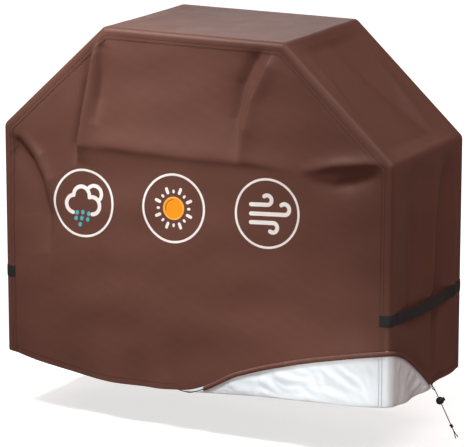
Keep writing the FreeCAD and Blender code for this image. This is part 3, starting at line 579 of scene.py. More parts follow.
# the turned-up corner's own creases: how far each point stands off
def crumple(u, v):
    away = np.hypot(u - halfWidth, v - hemZ)
    turn = np.arctan2(v - hemZ, halfWidth - u)
    rays = np.sin(turn * 23 + 1.2 * np.sin(away * 14)) * smooth(0.03, 0.25, away)
    rays += 0.6 * np.sin(turn * 41 + 2 * np.sin(away * 21)) * smooth(0.08, 0.3, away)
    slant = np.abs(np.sin((u * 0.75 + v * 1.1) * 26 + 1.1 * waves(u, v, 63, 0.16)))
    return np.abs(0.0026 * rays + 0.0044 * (slant - 0.5) + 0.0005 * waves(u, v, 61, 0.05, 9))


# drapes the panel, and lets its turned-up corner ride outside it with its own creases
def drapeFlap(points):
    body = points.copy()
    body[:, 1] = np.maximum(body[:, 1], frontY)
    settled = drape(body)
    settled[:, 1] += points[:, 1] - body[:, 1]
    off = np.clip(frontY + cover["gauge"] - points[:, 1], 0, None)
    mask = smooth(0.0, 2 * turnRadius, off)
    height = points[:, 2] - frontHem(points[:, 0])
    room = turnTopFront(points[:, 0]) - frontHem(points[:, 0])
    mask = mask * smooth(0.0, 0.014, height) * smooth(0.0, 0.03, room)
    mask = mask * smooth(0.030, 0.075, halfWidth - points[:, 0])
    mask = mask * smooth(0.018, 0.045, turnTopFront(points[:, 0]) - points[:, 2])
    settled[:, 1] -= mask * crumple(points[:, 0], points[:, 2])
    return settled


wrap = {
    "flange": 7,      # columns across each flange
    "bend": 5,        # across each rim bend
    "depth": 74,      # across the strip
    "skirt": 120,     # rows up each side
    "corner": 7,      # rows round each bend of the outline
    "slope": 70,
    "top": 84,
    "flapRows": 20,
}
flapSteps = np.arange(1, wrap["flapRows"] + 1) / wrap["flapRows"]


# across the strip: how far in from the outline, where in y, and the outward direction
def wrapProfile():
    bend = cover["edgeBend"]
    profile = []
    for inset in np.linspace(cover["seamInset"], bend, wrap["flange"]):
        profile.append((inset, frontY, (0.0, -1.0)))
    for angle in np.linspace(0, math.pi / 2, wrap["bend"] + 2)[1:-1]:
        inset = bend * (1 - math.sin(angle))
        profile.append((inset, frontY + bend * (1 - math.cos(angle)), (math.sin(angle), -math.cos(angle))))
    for y in np.linspace(frontY + bend, -frontY - bend, wrap["depth"]):
        profile.append((0.0, y, (1.0, 0.0)))
    mirrored = [(inset, -y, (out[0], -out[1])) for inset, y, out in profile[:wrap["flange"] + wrap["bend"]]]
    return profile + mirrored[::-1]


# the outline's points from the right shoulder over the top to the left one, the same count always
def outlineStations(inset):
    (topX, top), (sideX, shoulder) = inwardCorners(inset)
    radius = max(cover["outlineBend"] - inset, 0.0)
    rightSide = [(sideX, hemZ), (sideX, shoulder), (topX, top)]
    corners = rightSide + [(-x, z) for x, z in rightSide[::-1]]
    counts = [0, wrap["slope"], wrap["top"], wrap["slope"], 0]
    stations = []
    for index in range(1, 5):
        before, here, after = [floats(corners[index + step]) for step in (-1, 0, 1)]
        inward = (here - before) / np.linalg.norm(here - before)
        onward = (after - here) / np.linalg.norm(after - here)
        turn = math.acos(np.clip(inward @ onward, -1, 1))
        cut = radius * math.tan(turn / 2)
        start, end = here - inward * cut, here + onward * cut
        centre = start + radius * np.array([-inward[1], inward[0]])
        arc = []
        for t in np.linspace(0, 1, wrap["corner"]):
            angle = turn * t
            spoke = start - centre
            arc.append(centre + np.array([spoke[0] * math.cos(angle) - spoke[1] * math.sin(angle),
                                          spoke[0] * math.sin(angle) + spoke[1] * math.cos(angle)]))
        if radius == 0:
            arc = [here] * wrap["corner"]
        if stations:
            last = stations[-1]
            for t in np.linspace(0, 1, counts[index - 1] + 2)[1:-1]:
                stations.append(last + (arc[0] - last) * t)
        stations += arc
    return np.array(stations)


# one column of the wrap: the turned-up rows, then from the right hem over the top to the left hem
def wrapColumn(inset, y, side, face):
    stations = outlineStations(inset)
    flat = abs(face)
    x = stations[0][0]
    hem = float(flat * frontHem(x) + (1 - flat) * sideHem(y))
    farX = stations[-1][0]
    farHem = float(flat * frontHem(farX) + (1 - flat) * sideHem(y))
    right = [(x, z) for z in np.linspace(hem, stations[0][1], wrap["skirt"] + 1)[:-1]]
    left = [(farX, z) for z in np.linspace(stations[-1][1], farHem, wrap["skirt"] + 1)[1:]]
    line = floats([*right, *stations, *left])
    column = np.stack([line[:, 0], np.full(len(line), y), line[:, 1]], axis=1)
    top = float(turnTopFront(x)) if face < -0.99 else float(turnTopSide(y))
    flap = []
    for t in flapSteps:
        angle = math.pi * min(t / 0.2, 1)
        off = turnRadius * (1 - math.cos(angle))
        z = hem - turnRadius * math.sin(angle) + max(top - hem, 0) * max(t - 0.2, 0) / 0.8
        flap.append([x + side * off, y + face * off, z])
    return np.concatenate([flap[::-1], column])


def wrapPanelPiece(name):
    profile = wrapProfile()
    places = np.stack([wrapColumn(inset, y, *out) for inset, y, out in profile], axis=1)
    rowCount = places.shape[0]
    flapOff = np.zeros(places.shape[:2])
    flapOff[:wrap["flapRows"]] = np.minimum(flapSteps / 0.2, 1)[::-1, None]
    outX, outY = [np.tile([out[axis] for inset, y, out in profile], rowCount) for axis in (0, 1)]
    flat, off = places.reshape(-1, 3), flapOff.ravel()
    ride = 2 * turnRadius * smooth(0, 1, off)
    body = flat.copy()
    body[:, 0] -= outX * ride
    body[:, 1] -= outY * ride
    settled = drape(body)
    settled[:, 0] += outX * ride
    settled[:, 1] += outY * ride
    # creases on the side's part of the turned-up corner
    x, y, z = flat.T
    height = z - np.where(np.abs(outY) > 0.99, frontHem(x), sideHem(y))
    mask = (off > 0.9) * smooth(0.0, 0.014, height)
    mask = mask * (outX > 0.99) * smooth(0.0, 0.05, y - frontY)
    mask = mask * smooth(0.0, 0.03, cover["turnEnd"] - y)
    mask = mask * smooth(0.018, 0.045, turnTopSide(y) - z)
    settled[:, 0] += mask * crumple(-y - halfDepth + halfWidth, z)
    # the turned-up rows past the corner's end are not there
    kept = np.ones(places.shape[:2], bool)
    past = [y > cover["turnEnd"] + 0.004 or out[1] > 0.01 for inset, y, out in profile]
    kept[:wrap["flapRows"], past] = False
    return gridPiece(name, settled.reshape(places.shape), kept)


def clothPanel(piece, node):
    piece.data.materials.append(brown)
    piece.data.materials.append(silver)
    thicken(piece, cover["gauge"], inside=1)
    shadeSmooth(piece, 60)
    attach(piece, "root")
    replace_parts(piece, node)
    print("panel", node, len(piece.data.polygons))


frontCloth = frontPanelPiece("front_cloth")
backCloth = backPanelPiece("back_cloth")
wrapCloth = wrapPanelPiece("wrap_cloth")
clothPanel(frontCloth, "front_panel")
clothPanel(backCloth, "back_panel")
clothPanel(wrapCloth, "wrap_panel")


# parts that are built along a path

# a tube through rings[station][point], each going the same way round, with its ends closed
def tubePiece(name, rings, closed=False):
    rings = floats(rings)
    looped = np.concatenate([rings, rings[:, :1]], axis=1)
    if closed:
        looped = np.concatenate([looped, looped[:1]], axis=0)
    piece = gridPiece(name, looped)
    editAll(piece, mergeDoubles)
    if not closed:
        editAll(piece, lambda: bpy.ops.mesh.fill_holes(sides=0))
    editAll(piece, facesOutward)
    return piece


# the same path with its points a pitch apart
def resample(points, pitch):
    points = floats(points)
    run = np.concatenate([[0], np.cumsum(np.linalg.norm(np.diff(points, axis=0), axis=1))])
    count = max(int(round(run[-1] / pitch)), 2)
    where = np.linspace(0, run[-1], count + 1)
    return np.stack([np.interp(where, run, points[:, axis]) for axis in range(3)], axis=1)


# straight runs whose corners are softened over about a radius
def rounded(points, radius, pitch):
    fine = resample(points, pitch)
    window = max(int(round(radius / pitch)), 1)
    for turn in range(2):
        padded = np.concatenate([np.repeat(fine[:1], window, axis=0), fine,
                                 np.repeat(fine[-1:], window, axis=0)])
        kernel = np.ones(2 * window + 1) / (2 * window + 1)
        soft = np.stack([np.convolve(padded[:, axis], kernel, mode="valid") for axis in range(3)], axis=1)
        soft[0], soft[-1] = fine[0], fine[-1]
        fine = soft
    return fine


# round rings about a path, carried along it without twist
def ringsAlong(points, radius, sides):
    points = floats(points)
    tangents = np.gradient(points, axis=0)
    tangents /= np.linalg.norm(tangents, axis=1)[:, None]
    normal = np.cross(tangents[0], (0.3, 0.2, 0.93))
    normal /= np.linalg.norm(normal)
    rings = []
    radii = np.broadcast_to(radius, (len(points),))
    for point, tangent, size in zip(points, tangents, radii):
        normal = normal - tangent * (normal @ tangent)
        normal /= np.linalg.norm(normal)
        other = np.cross(tangent, normal)
        angles = np.linspace(0, 2 * math.pi, sides, endpoint=False)
        rings.append(point + size * (np.cos(angles)[:, None] * normal + np.sin(angles)[:, None] * other))
    return np.array(rings)


# the hem's casing and its cord: where they run, and how far they stand off the cloth
hemBand = {
    "insideStart": -0.055,   # on the front, left of the turned-up corner
    "insideEnd": 0.076,      # on the right side, past the corner's end
    "outsideStart": 0.055,
    "outsideEnd": 0.020,
    "insideOff": 0.0022,
    "outsideOff": 0.0062,
    "cordHalf": 0.0016,
    "cordInside": -0.0052,
    "cordOutside": 0.0098,
    "rowInside": 0.0204,     # the row of thread above the inner band
    "rowOutside": 0.0150,    # and the one below the outer band's edge
    "rowOff": 0.0105,
}


# round the cover's plan from the front's middle towards -X: x, y and the outward direction
def planLoop(pitch=0.004):
    bend = cover["edgeBend"]
    straightX, straightY = halfWidth - bend, halfDepth - bend
    legs = [((0, -halfDepth), (-straightX, -halfDepth)),
            ((-halfWidth, -straightY), (-halfWidth, straightY)),
            ((-straightX, halfDepth), (straightX, halfDepth)),
            ((halfWidth, straightY), (halfWidth, -straightY)),
            ((straightX, -halfDepth), (0, -halfDepth))]
    outs = [(0, -1), (-1, 0), (0, 1), (1, 0), (0, -1)]
    loop = []
    for index, (start, end) in enumerate(legs):
        start, end = floats(start), floats(end)
        count = int(round(np.linalg.norm(end - start) / pitch))
        for t in np.linspace(0, 1, count, endpoint=False):
            loop.append((*(start + (end - start) * t), *outs[index]))
        if index < 4:
            out, onward = floats(outs[index]), floats(outs[index + 1])
            centre = end - out * bend
            for t in np.linspace(0, math.pi / 2, 5, endpoint=False):
                spoke = out * math.cos(t) + onward * math.sin(t)
                loop.append((*(centre + spoke * bend), *spoke))
    return floats(loop)


def hemAt(x, y, outY):
    flat = np.abs(outY)
    return flat * frontHem(x) + (1 - flat) * sideHem(y)


# points at off outside the draped cloth's face
def rideOut(x, y, z, outX, outY, off):
    points = drape(np.stack([x, y, z], axis=1))
    points[:, 0] += outX * off
    points[:, 1] += outY * off
    return points


def rideLoop(loop, z, off):
    return rideOut(loop[:, 0], loop[:, 1], z, loop[:, 2], loop[:, 3], off)


def hemAlong(loop):
    return hemAt(loop[:, 0], loop[:, 1], loop[:, 3])


# the part of the loop where the hem is not turned up
def insideRun():
    loop = planLoop()
    x, y = loop[:, 0], loop[:, 1]
    front = (y < frontY + 0.001) & (x > hemBand["insideStart"])
    rightSide = (loop[:, 2] > 0.5) & (y < hemBand["insideEnd"])
    corner = (x > halfWidth - 0.03) & (y < 0)
    return loop[~(front | rightSide | corner)]


# the band's section: up, as a share of its height, and out
bandShape = [(0.06, 0.0), (0.02, 0.001), (0.06, 0.0042), (0.25, 0.0062), (0.5, 0.0068), (0.75, 0.0058),
             (0.93, 0.0036), (0.99, 0.0012), (0.95, 0.0), (0.5, 0.0)]


# rings of a flattened tube of cloth that lies along the hem, gathered on its cord
def bandRings(loop, base, outward, lowZ):
    run = np.concatenate([[0], np.cumsum(np.hypot(np.diff(loop[:, 0]), np.diff(loop[:, 1])))])
    pucker = 1 + 0.16 * np.sin(run * 2 * math.pi / 0.017) + 0.09 * np.sin(run * 2 * math.pi / 0.043 + 1)
    rings = []
    for up, out in bandShape:
        off = outward * (base + out * (pucker if out > 0.002 else 1.0))
        rings.append(rideLoop(loop, lowZ + up * cover["casing"], off))
    return np.stack(rings, axis=1)


# the part of the loop along the turned-up corner, from the front towards the side
def flapLoop():
    loop = planLoop()
    x, y = loop[:, 0], loop[:, 1]
    bend = cover["edgeBend"] + 0.0001
    front = (y < frontY + 0.0001) & (x > hemBand["outsideStart"])
    corner = (x > halfWidth - bend) & (y < frontY + bend)
    rightSide = (loop[:, 2] > 0.99) & (y < hemBand["outsideEnd"])
    part = loop[front | corner | rightSide]
    # the front's points come first, from the middle to the corner
    alongFront = part[:, 0] - 10 + np.maximum(part[:, 1] + halfDepth, 0)
    key = np.where(part[:, 1] < frontY + bend, alongFront, part[:, 1])
    return part[np.argsort(key)]


def flapTop(loop):
    return np.where(np.abs(loop[:, 3]) > 0.99, turnTopFront(loop[:, 0]),
                    np.minimum(turnTopSide(loop[:, 1]), turnTopFront(loop[:, 0])))


loop = insideRun()
innerBand = tubePiece("hem_band_inside", bandRings(loop, hemBand["insideOff"], -1, hemAlong(loop)))
loop = flapLoop()
lowZ = flapTop(loop) - cover["casing"] + 0.0012
outerBand = tubePiece("hem_band_turned_up", bandRings(loop, hemBand["outsideOff"], 1, lowZ))
for band in (innerBand, outerBand):
    band.data.materials.append(brown)
    shadeSmooth(band, 50)
    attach(band, "root")
    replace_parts(band, "hem_casing")
print("hem bands ready")

# the drawcord inside the hem
halfCasing = cover["casing"] / 2
cordLook = clothLook("braided_cord", shade(26, 26, 28), 0.7, 1400.0, 0.2)
loop = insideRun()[6::6]
inner = rideLoop(loop, hemAlong(loop) + halfCasing, hemBand["cordInside"])
loop = flapLoop()[::6]
outer = rideLoop(loop, flapTop(loop) - halfCasing, hemBand["cordOutside"])
# where the cord passes from the inner band to the outer one
crossX = floats((-0.035, 0.0, 0.035))
crossing = rideOut(crossX, np.full(3, frontY), frontHem(crossX) + floats((-0.004, -0.006, 0.004)),
                   np.zeros(3), -np.ones(3), floats((-0.004, 0.004, 0.0095)))
route = rounded(np.concatenate([inner[::-1], crossing, outer]), 0.008, 0.005)
hemCord = tubePiece("hem_drawcord_braided", ringsAlong(route, hemBand["cordHalf"], 8))
hemCord.data.materials.append(cordLook)
shadeSmooth(hemCord, 60)
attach(hemCord, "root")
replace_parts(hemCord, "hem_drawcord")
print("hem drawcord", len(route))


# sewn thread: one stitch, repeated along each row

# paths are (points, outward directions) already on the cloth; a stitch lies at every pitch
def stitchRow(name, paths, look, size=(0.0056, 0.0017, 0.0007), pitch=0.0063):
    places = []
    for points, outs in paths:
        points, outs = floats(points), floats(outs)
        run = np.concatenate([[0], np.cumsum(np.linalg.norm(np.diff(points, axis=0), axis=1))])
        count = int(run[-1] / pitch)
        for index in range(count):
            ends = []
            for at in (index * pitch + 0.0006, index * pitch + 0.0006 + size[0]):
                ends.append([np.interp(at, run, points[:, axis]) for axis in range(3)])
            out = [np.interp(index * pitch, run, outs[:, axis]) for axis in range(3)]
            places.append((floats(ends[0]), floats(ends[1]), floats(out)))
    deselectAll()
    bpy.ops.mesh.primitive_uv_sphere_add(segments=6, ring_count=4, radius=0.5)
    piece = bpy.context.object
    piece.name = name
    one = getPoints(piece)
    copies = piece.modifiers.new("row", "ARRAY")
    copies.count = len(places)
    copies.use_relative_offset = False
    copies.use_constant_offset = True
    copies.constant_offset_displace = (2, 0, 0)
    applyModifiers(piece)
    points = getPoints(piece)
    which = np.clip(np.rint(points[:, 0] / 2).astype(int), 0, len(places) - 1)
    local = points - which[:, None] * floats((2, 0, 0))
    starts = np.array([place[0] for place in places])[which]
    ends = np.array([place[1] for place in places])[which]
    outs = np.array([place[2] for place in places])[which]
    along = ends - starts
    length = np.linalg.norm(along, axis=1)[:, None]
    across = np.cross(along / length, outs)
    middle = (starts + ends) / 2
    # the poles point along the thread, and its ends dip into the cloth
    dip = -0.55 * size[2] * (2 * local[:, 2]) ** 2
    made = middle + along * local[:, 2:3] + across * local[:, 0:1] * size[1]
    made = made + outs * (local[:, 1] * 2 * size[2] + dip)[:, None]
    setPoints(piece, made)
    piece.data.materials.append(look)
    editAll(piece, facesOutward)
    bpy.ops.object.shade_smooth()
    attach(piece, "root")
    print("stitches", name, len(places))
    return piece


threadLook = clothLook("thread", shade(20, 7, 5), 0.7, 1500.0, 0.1)

# the handles' webbing; the seams' thread stops beside its ends
webbing = {
    "width": 0.040,
    "gauge": 0.0016,
    "high": hemZ + 0.305,
    "tab": 0.045,        # how far an end reaches round onto the side
    "gap": 0.0004,
    "sag": 0.006,
    "bulge": 0.007,
    "off": 0.0003,
    "twist": 0.050,      # the strap's run that twists beside each end
    "boxNear": 0.0214,   # the sewn box, from the cover's side inwards
    "boxFar": 0.037,
    "boxHalf": 0.016,
}


# the two rows round a face, from the right hem over the top to the left one
def seamPaths(side):
    paths = []
    tabHigh, tabLow = webbing["high"] + 0.002, webbing["high"] - webbing["width"] - 0.002
    for inset in cover["rows"]:
        stations = outlineStations(inset + 0.00045)
        x = stations[0][0]
        foot = float(frontHem(x)) + 0.002
        line = np.concatenate([[(x, foot)], stations, [(-x, foot)]])
        line = resample(np.stack([line[:, 0], 0 * line[:, 0], line[:, 1]], axis=1), 0.004)
        clear = (line[:, 2] > tabHigh) | (line[:, 2] < tabLow)
        breaks = np.flatnonzero(np.diff(clear.astype(int))) + 1
        for part, keep in zip(np.split(line, breaks), np.split(clear, breaks)):
            if keep[0]:
                y = np.full(len(part), side * halfDepth)
                outs = np.tile((0.0, float(side), 0.0), (len(part), 1))
                paths.append((rideOut(part[:, 0], y, part[:, 2], outs[:, 0], outs[:, 1], 0.0), outs))
    return paths


frontRows = stitchRow("front_rows", seamPaths(-1), threadLook)
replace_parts(frontRows, "front_seam_stitching")
backRows = stitchRow("back_rows", seamPaths(1), threadLook)
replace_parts(backRows, "back_seam_stitching")

loop = insideRun()
inFront = np.abs(loop[:, 0]) < halfWidth - cover["seamInset"]
onFace = np.abs(loop[:, 3]) > 0.99
base = np.where(onFace & inFront, -cover["gauge"], 0.0)
outs = np.stack([loop[:, 2], loop[:, 3], 0 * base], axis=1)
row = rideLoop(loop, hemAlong(loop) + hemBand["rowInside"], base)
loop = flapLoop()
bandOuts = np.stack([loop[:, 2], loop[:, 3], 0 * loop[:, 0]], axis=1)
bandRow = rideLoop(loop, flapTop(loop) - hemBand["rowOutside"], hemBand["rowOff"])
cornerRows = []
for inset in cover["rows"]:
    x = halfWidth - inset - 0.00045
    z = np.linspace(float(frontHem(x)) + 0.003, float(turnTopFront(x)) - cover["casing"] - 0.002, 60)
    faceOut = np.tile((0.0, -1.0, 0.0), (60, 1))
    cornerRows.append((rideOut(np.full(60, x), np.full(60, frontY), z, 0.0, -1.0, 0.0064), faceOut))
hemRows = stitchRow("hem_rows", [(row, outs), (bandRow, bandOuts), *cornerRows], threadLook)
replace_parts(hemRows, "hem_stitching")

# transfer prints, a thin film on the front
prints = {
    "x": -0.408,
    "pitch": 0.350,
    "z": hemZ + 0.580,
    "climb": 0.058,      # rise of the row per metre towards the right
    "outer": 0.119,
    "ring": 0.008,
    "stroke": 0.014,
    "lift": 0.0004,
    "disc": 0.040,       # the sun's disc, the rim on it and the mark on it
    "rim": 0.0372,
    "rimWidth": 0.0048,
    "mark": 0.030,
    "markWidth": 0.0028,
}


def filmLook(name, colour, roughness=0.45):
    look = Look(name)
    where = look.coordinates()
    slow = look.noise(60.0, 2.0, 0.5, where)
    dull = tuple(part * 0.94 for part in colour[:3]) + (1.0,)
    look.set(Base_Color=look.mix(slow, dull, colour), Roughness=roughness + 0.1 * slow,
             Normal=look.bump(look.weave(900.0, where), 0.08, 0.0005))
    return look.material


whiteFilm = filmLook("film_white", shade(250, 246, 240))
tealFilm = filmLook("film_teal", shade(84, 184, 196))
orangeFilm = filmLook("film_orange", shade(255, 158, 22))
paleFilm = filmLook("film_pale_orange", shade(255, 186, 84))
darkFilm = filmLook("film_dark", shade(150, 84, 20))


def onFront(u, v, lift):
    # the row of prints climbs a little towards the right
    v = v + prints["climb"] * (u - prints["x"] - prints["pitch"])
    points = drape(np.stack([u, np.full(len(u), frontY), v], axis=1))
    points[:, 1] += cover["gauge"] - lift
    return points


def filmPiece(name, places, look, lift, closed):
    piece = gridPiece(name, places)
    piece.data.materials.append(look)
    if closed:
        editAll(piece, mergeDoubles)
    faceTowards(piece, (0, -1, 0))
    thicken(piece, lift + 0.0001)
    shadeSmooth(piece, 40)
    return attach(piece, "root")


# a film stroke with round ends along points (u, v) of the front
def strokeAlong(name, points, width, look, closed=False, lift=None):
    lift = lift or prints["lift"]
    points = floats(points)
    if closed:
        tangent = np.roll(points, -1, axis=0) - np.roll(points, 1, axis=0)
    else:
        tangent = np.gradient(points, axis=0)
    tangent /= np.linalg.norm(tangent, axis=1)[:, None]
    side = np.stack([-tangent[:, 1], tangent[:, 0]], axis=1)
    half = width / 2
    rows = []
    if closed:
        points = np.concatenate([points, points[:1]])
        side = np.concatenate([side, side[:1]])
        rows = [(point, edge, half) for point, edge in zip(points, side)]
    else:
        capAngles = np.linspace(math.pi / 2, math.pi / 10, 5)
        for angle in capAngles:
            rows.append((points[0] - tangent[0] * half * math.sin(angle), side[0], half * math.cos(angle)))
        rows += [(point, edge, half) for point, edge in zip(points, side)]
        for angle in capAngles[::-1]:
            tip = points[-1] + tangent[-1] * half * math.sin(angle)
            rows.append((tip, side[-1], half * math.cos(angle)))
    columns = 5
    places = np.empty((len(rows), columns, 3))
    for index, (point, edge, reach) in enumerate(rows):
        reach = max(reach, 0.00005)
        offsets = np.linspace(-reach, reach, columns)
        flat = point + edge * offsets[:, None]
        places[index] = onFront(flat[:, 0], flat[:, 1], lift)
    return filmPiece(name, places, look, lift, closed)


def arcPoints(centre, radius, first, last, step=4.0):
    count = max(int(abs(last - first) / step), 6)
    angles = np.radians(np.linspace(first, last, count + 1))
    return np.stack([centre[0] + radius * np.cos(angles), centre[1] + radius * np.sin(angles)], axis=1)


# a round of film, in rings from its middle outwards
def spot(name, centre, radius, look, lift):
    angles = np.radians(np.linspace(0, 360, 61))
    places = []
    for size in np.linspace(0.00002, radius, 9):
        places.append(onFront(centre[0] + size * np.cos(angles), centre[1] + size * np.sin(angles), lift))
    return filmPiece(name, floats(places), look, lift, True)


centres = [(prints["x"] + prints["pitch"] * index, prints["z"]) for index in range(3)]
rain, sun, wind = centres


# a place on a print, in millimetres from its centre
def onPrint(centre, x, z):
    return (centre[0] + x / 1000, centre[1] + z / 1000)


def straight(start, end, count=8):
    return np.linspace(start, end, count)


for centre, label, node in ((rain, "rain", "rain_print_white"), (sun, "sun", "sun_print_white"),
                            (wind, "wind", "wind_print_white")):
    radius = prints["outer"] - prints["ring"] / 2
    ring = strokeAlong(label + "_border", arcPoints(centre, radius, 0, 360, 3.0)[:-1], prints["ring"],
                       whiteFilm, closed=True)
    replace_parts(ring, node)

stroke = prints["stroke"]
for index, (x, z, size, first, last) in enumerate(((-39, -4, 30, 92, 261), (-8, 25, 32, -7, 178),
                                                   (34, -7, 30, -90, 110))):
    lobe = strokeAlong("cloud_lobe_%d" % index, arcPoints(onPrint(rain, x, z), size / 1000, first, last),
                       stroke, whiteFilm, lift=prints["lift"] + 0.00004 * index)
    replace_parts(lobe, "rain_print_white")
backLobe = strokeAlong("back_cloud", arcPoints(onPrint(rain, 42, 33), 0.029, -35, 135), stroke - 0.001,
                       whiteFilm, lift=prints["lift"] + 0.00015)
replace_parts(backLobe, "rain_print_white")
for index, (x, z) in enumerate(((-27, -34), (-4, -32), (20, -36), (-32, -54), (-9, -53), (15, -56),
                                (-16, -75))):
    dash = straight(onPrint(rain, x + 0.5, z + 1.5), onPrint(rain, x - 0.5, z - 1.5))
    drop = strokeAlong("drop_%d" % index, dash, stroke - 0.001, tealFilm)
    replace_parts(drop, "rain_print_drops")

for index in range(16):
    angle = math.radians(index * 22.5)
    width, far = (9, 64) if index % 2 == 0 else (11, 76)
    near, far = 51 + width / 2, far - width / 2
    dash = straight(onPrint(sun, near * math.cos(angle), near * math.sin(angle)),
                    onPrint(sun, far * math.cos(angle), far * math.sin(angle)))
    ray = strokeAlong("sun_ray_%d" % index, dash, width / 1000, whiteFilm)
    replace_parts(ray, "sun_print_white")
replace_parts(spot("sun_disc", sun, prints["disc"], orangeFilm, prints["lift"]), "sun_print_disc")
rim = strokeAlong("sun_rim", arcPoints(sun, prints["rim"], 0, 360, 4.0)[:-1], prints["rimWidth"], paleFilm,
                  closed=True, lift=prints["lift"] + 0.0001)
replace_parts(rim, "sun_print_disc")
mark = strokeAlong("sun_mark", arcPoints(sun, prints["mark"], 92, 195), prints["markWidth"], darkFilm,
                   lift=prints["lift"] + 0.0001)
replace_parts(mark, "sun_print_disc")

for index, (height, endX, curl, upward) in enumerate(((29, 0, 16, 1), (-2, 63, 18, 1), (-31, 21, 16, -1))):
    hookCentre = onPrint(wind, endX, height + upward * curl)
    hook = arcPoints(hookCentre, curl / 1000, -90 * upward, 130 * upward)
    shaft = straight(onPrint(wind, -59, height), onPrint(wind, endX, height), 24)
    line = np.concatenate([shaft[:-1], hook])
    gust = strokeAlong("gust_%d" % index, line, stroke, whiteFilm)
    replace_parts(gust, "wind_print_white")
print("prints ready")

# webbing handles: sewn ends, and a strap whose ends twist beside them

# black polypropylene webbing: ribs along it and across it
def webbingLook():
    look = Look("black_webbing")
    where = look.coordinates()
    x, y, z = look.separated(where)
    ribs = ((z * 2600).math("SINE") * 0.5 + 0.5) * ((y * 1700 + x * 1700).math("SINE") * 0.3 + 0.7)
    slow = look.noise(40.0, 3.0, 0.5, where)
    look.set(Base_Color=look.mix(slow, shade(24, 27, 27), shade(38, 42, 42)), Roughness=0.55 + 0.2 * slow,
             Normal=look.bump(ribs, 0.5, 0.0007))
    return look.material


webbingBlack = webbingLook()
handleThread = clothLook("handle_thread", shade(22, 22, 23), 0.6, 1500.0, 0.1)
halfSpan = halfDepth - webbing["tab"] - webbing["gap"]


# a strip of webbing: lines[i] is a point on its back at mid height, heights[i] its z, outs[i] outward
def webbingPiece(name, lines, heights, outs):
    rows = 9
    places = np.empty((rows, len(lines), 3))
    for index, (point, z, out) in enumerate(zip(lines, heights, outs)):
        for row, t in enumerate(np.linspace(-0.5, 0.5, rows)):
            curl = 0.0006 * (2 * t) ** 2
            places[row, index] = (point[0] + out[0] * (webbing["gauge"] - curl),
                                  point[1] + out[1] * (webbing["gauge"] - curl), z + t * webbing["width"])
    piece = gridPiece(name, places)
    faceTowards(piece, (*outs[len(outs) // 2], 0))
    thicken(piece, webbing["gauge"])
    edge = piece.modifiers.new("edge", "BEVEL")
    edge.width = 0.0003
    edge.segments = 2
    edge.limit_method = "ANGLE"
    applyModifiers(piece)
    piece.data.materials.append(webbingBlack)
    shadeSmooth(piece, 50)
    return piece


# the lines of a sewn box with a cross in it, on a webbing end
def boxStitch(sign, end, middleZ):
    left, right = [sign * (halfWidth - webbing[reach]) for reach in ("boxFar", "boxNear")]
    low, high = middleZ - webbing["boxHalf"], middleZ + webbing["boxHalf"]
    corners = [((left, low), (right, low)), ((right, low), (right, high)), ((right, high), (left, high)),
               ((left, high), (left, low)), ((left, low), (right, high)), ((left, high), (right, low))]
    paths = []
    for start, finish in corners:
        u, v = np.linspace(start, finish, 12).T
        points = drape(np.stack([u, np.full(len(u), end * halfDepth), v], axis=1))
        points[:, 1] += end * (webbing["gauge"] + 0.0001)
        paths.append((points, np.tile((0.0, float(end), 0.0), (len(u), 1))))
    return paths


# a webbing end, from the front's or the back's flange round the corner to the side
def handleEnd(label, sign, end, middleZ):
    bend = cover["edgeBend"]
    line, outs = [], []
    for x in np.linspace(halfWidth - cover["seamInset"], halfWidth - bend, 6)[:-1]:
        line.append((sign * x, end * halfDepth))
        outs.append((0.0, float(end)))
    for angle in np.linspace(0, math.pi / 2, 9):
        line.append((sign * (halfWidth - bend + bend * math.sin(angle)),
                     end * (halfDepth - bend + bend * math.cos(angle))))
        outs.append((sign * math.sin(angle), end * math.cos(angle)))
    for y in np.linspace(halfDepth - bend, halfDepth - webbing["tab"], 8)[1:]:
        line.append((sign * halfWidth, end * y))
        outs.append((float(sign), 0.0))
    line, outs = floats(line), floats(outs)
    heights = np.full(len(line), middleZ)
    lifted = rideOut(line[:, 0], line[:, 1], heights, outs[:, 0], outs[:, 1], 0.0002)
    tab = webbingPiece("%s_webbing_end_%s" % (label, "back" if end > 0 else "front"), lifted[:, :2],
                       heights, outs)
    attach(tab, "root")
    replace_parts(tab, "%s_handle_ends" % label)


# the strap's run, which spans the cloth's hollows and rides over its swellings
def strapSpan(sign, middleZ):
    spanY = np.linspace(-halfSpan, halfSpan, 240)
    spanT = np.clip(1 - (spanY / halfSpan) ** 2, 0, 1)
    spanZ = middleZ - webbing["sag"] * spanT
    edges = [drape(np.stack([np.full(240, sign * halfWidth), spanY, spanZ + up], axis=1))[:, 0]
             for up in (-0.018, -0.009, 0.0, 0.009, 0.018)]
    cloth = np.max(np.abs(edges), axis=0) + 0.0009
    ends = np.interp(spanY, [-halfSpan, halfSpan], [cloth[0], cloth[-1]])
    spanX = ends + (halfWidth + webbing["off"] + webbing["bulge"] - ends) * spanT
    for turn in range(3):
        spanX = np.maximum(spanX, cloth)
        spread = np.concatenate([np.full(6, spanX[0]), spanX, np.full(6, spanX[-1])])
        spanX = np.convolve(spread, np.ones(13) / 13, mode="valid")
    return spanY, sign * np.maximum(spanX, cloth), spanZ


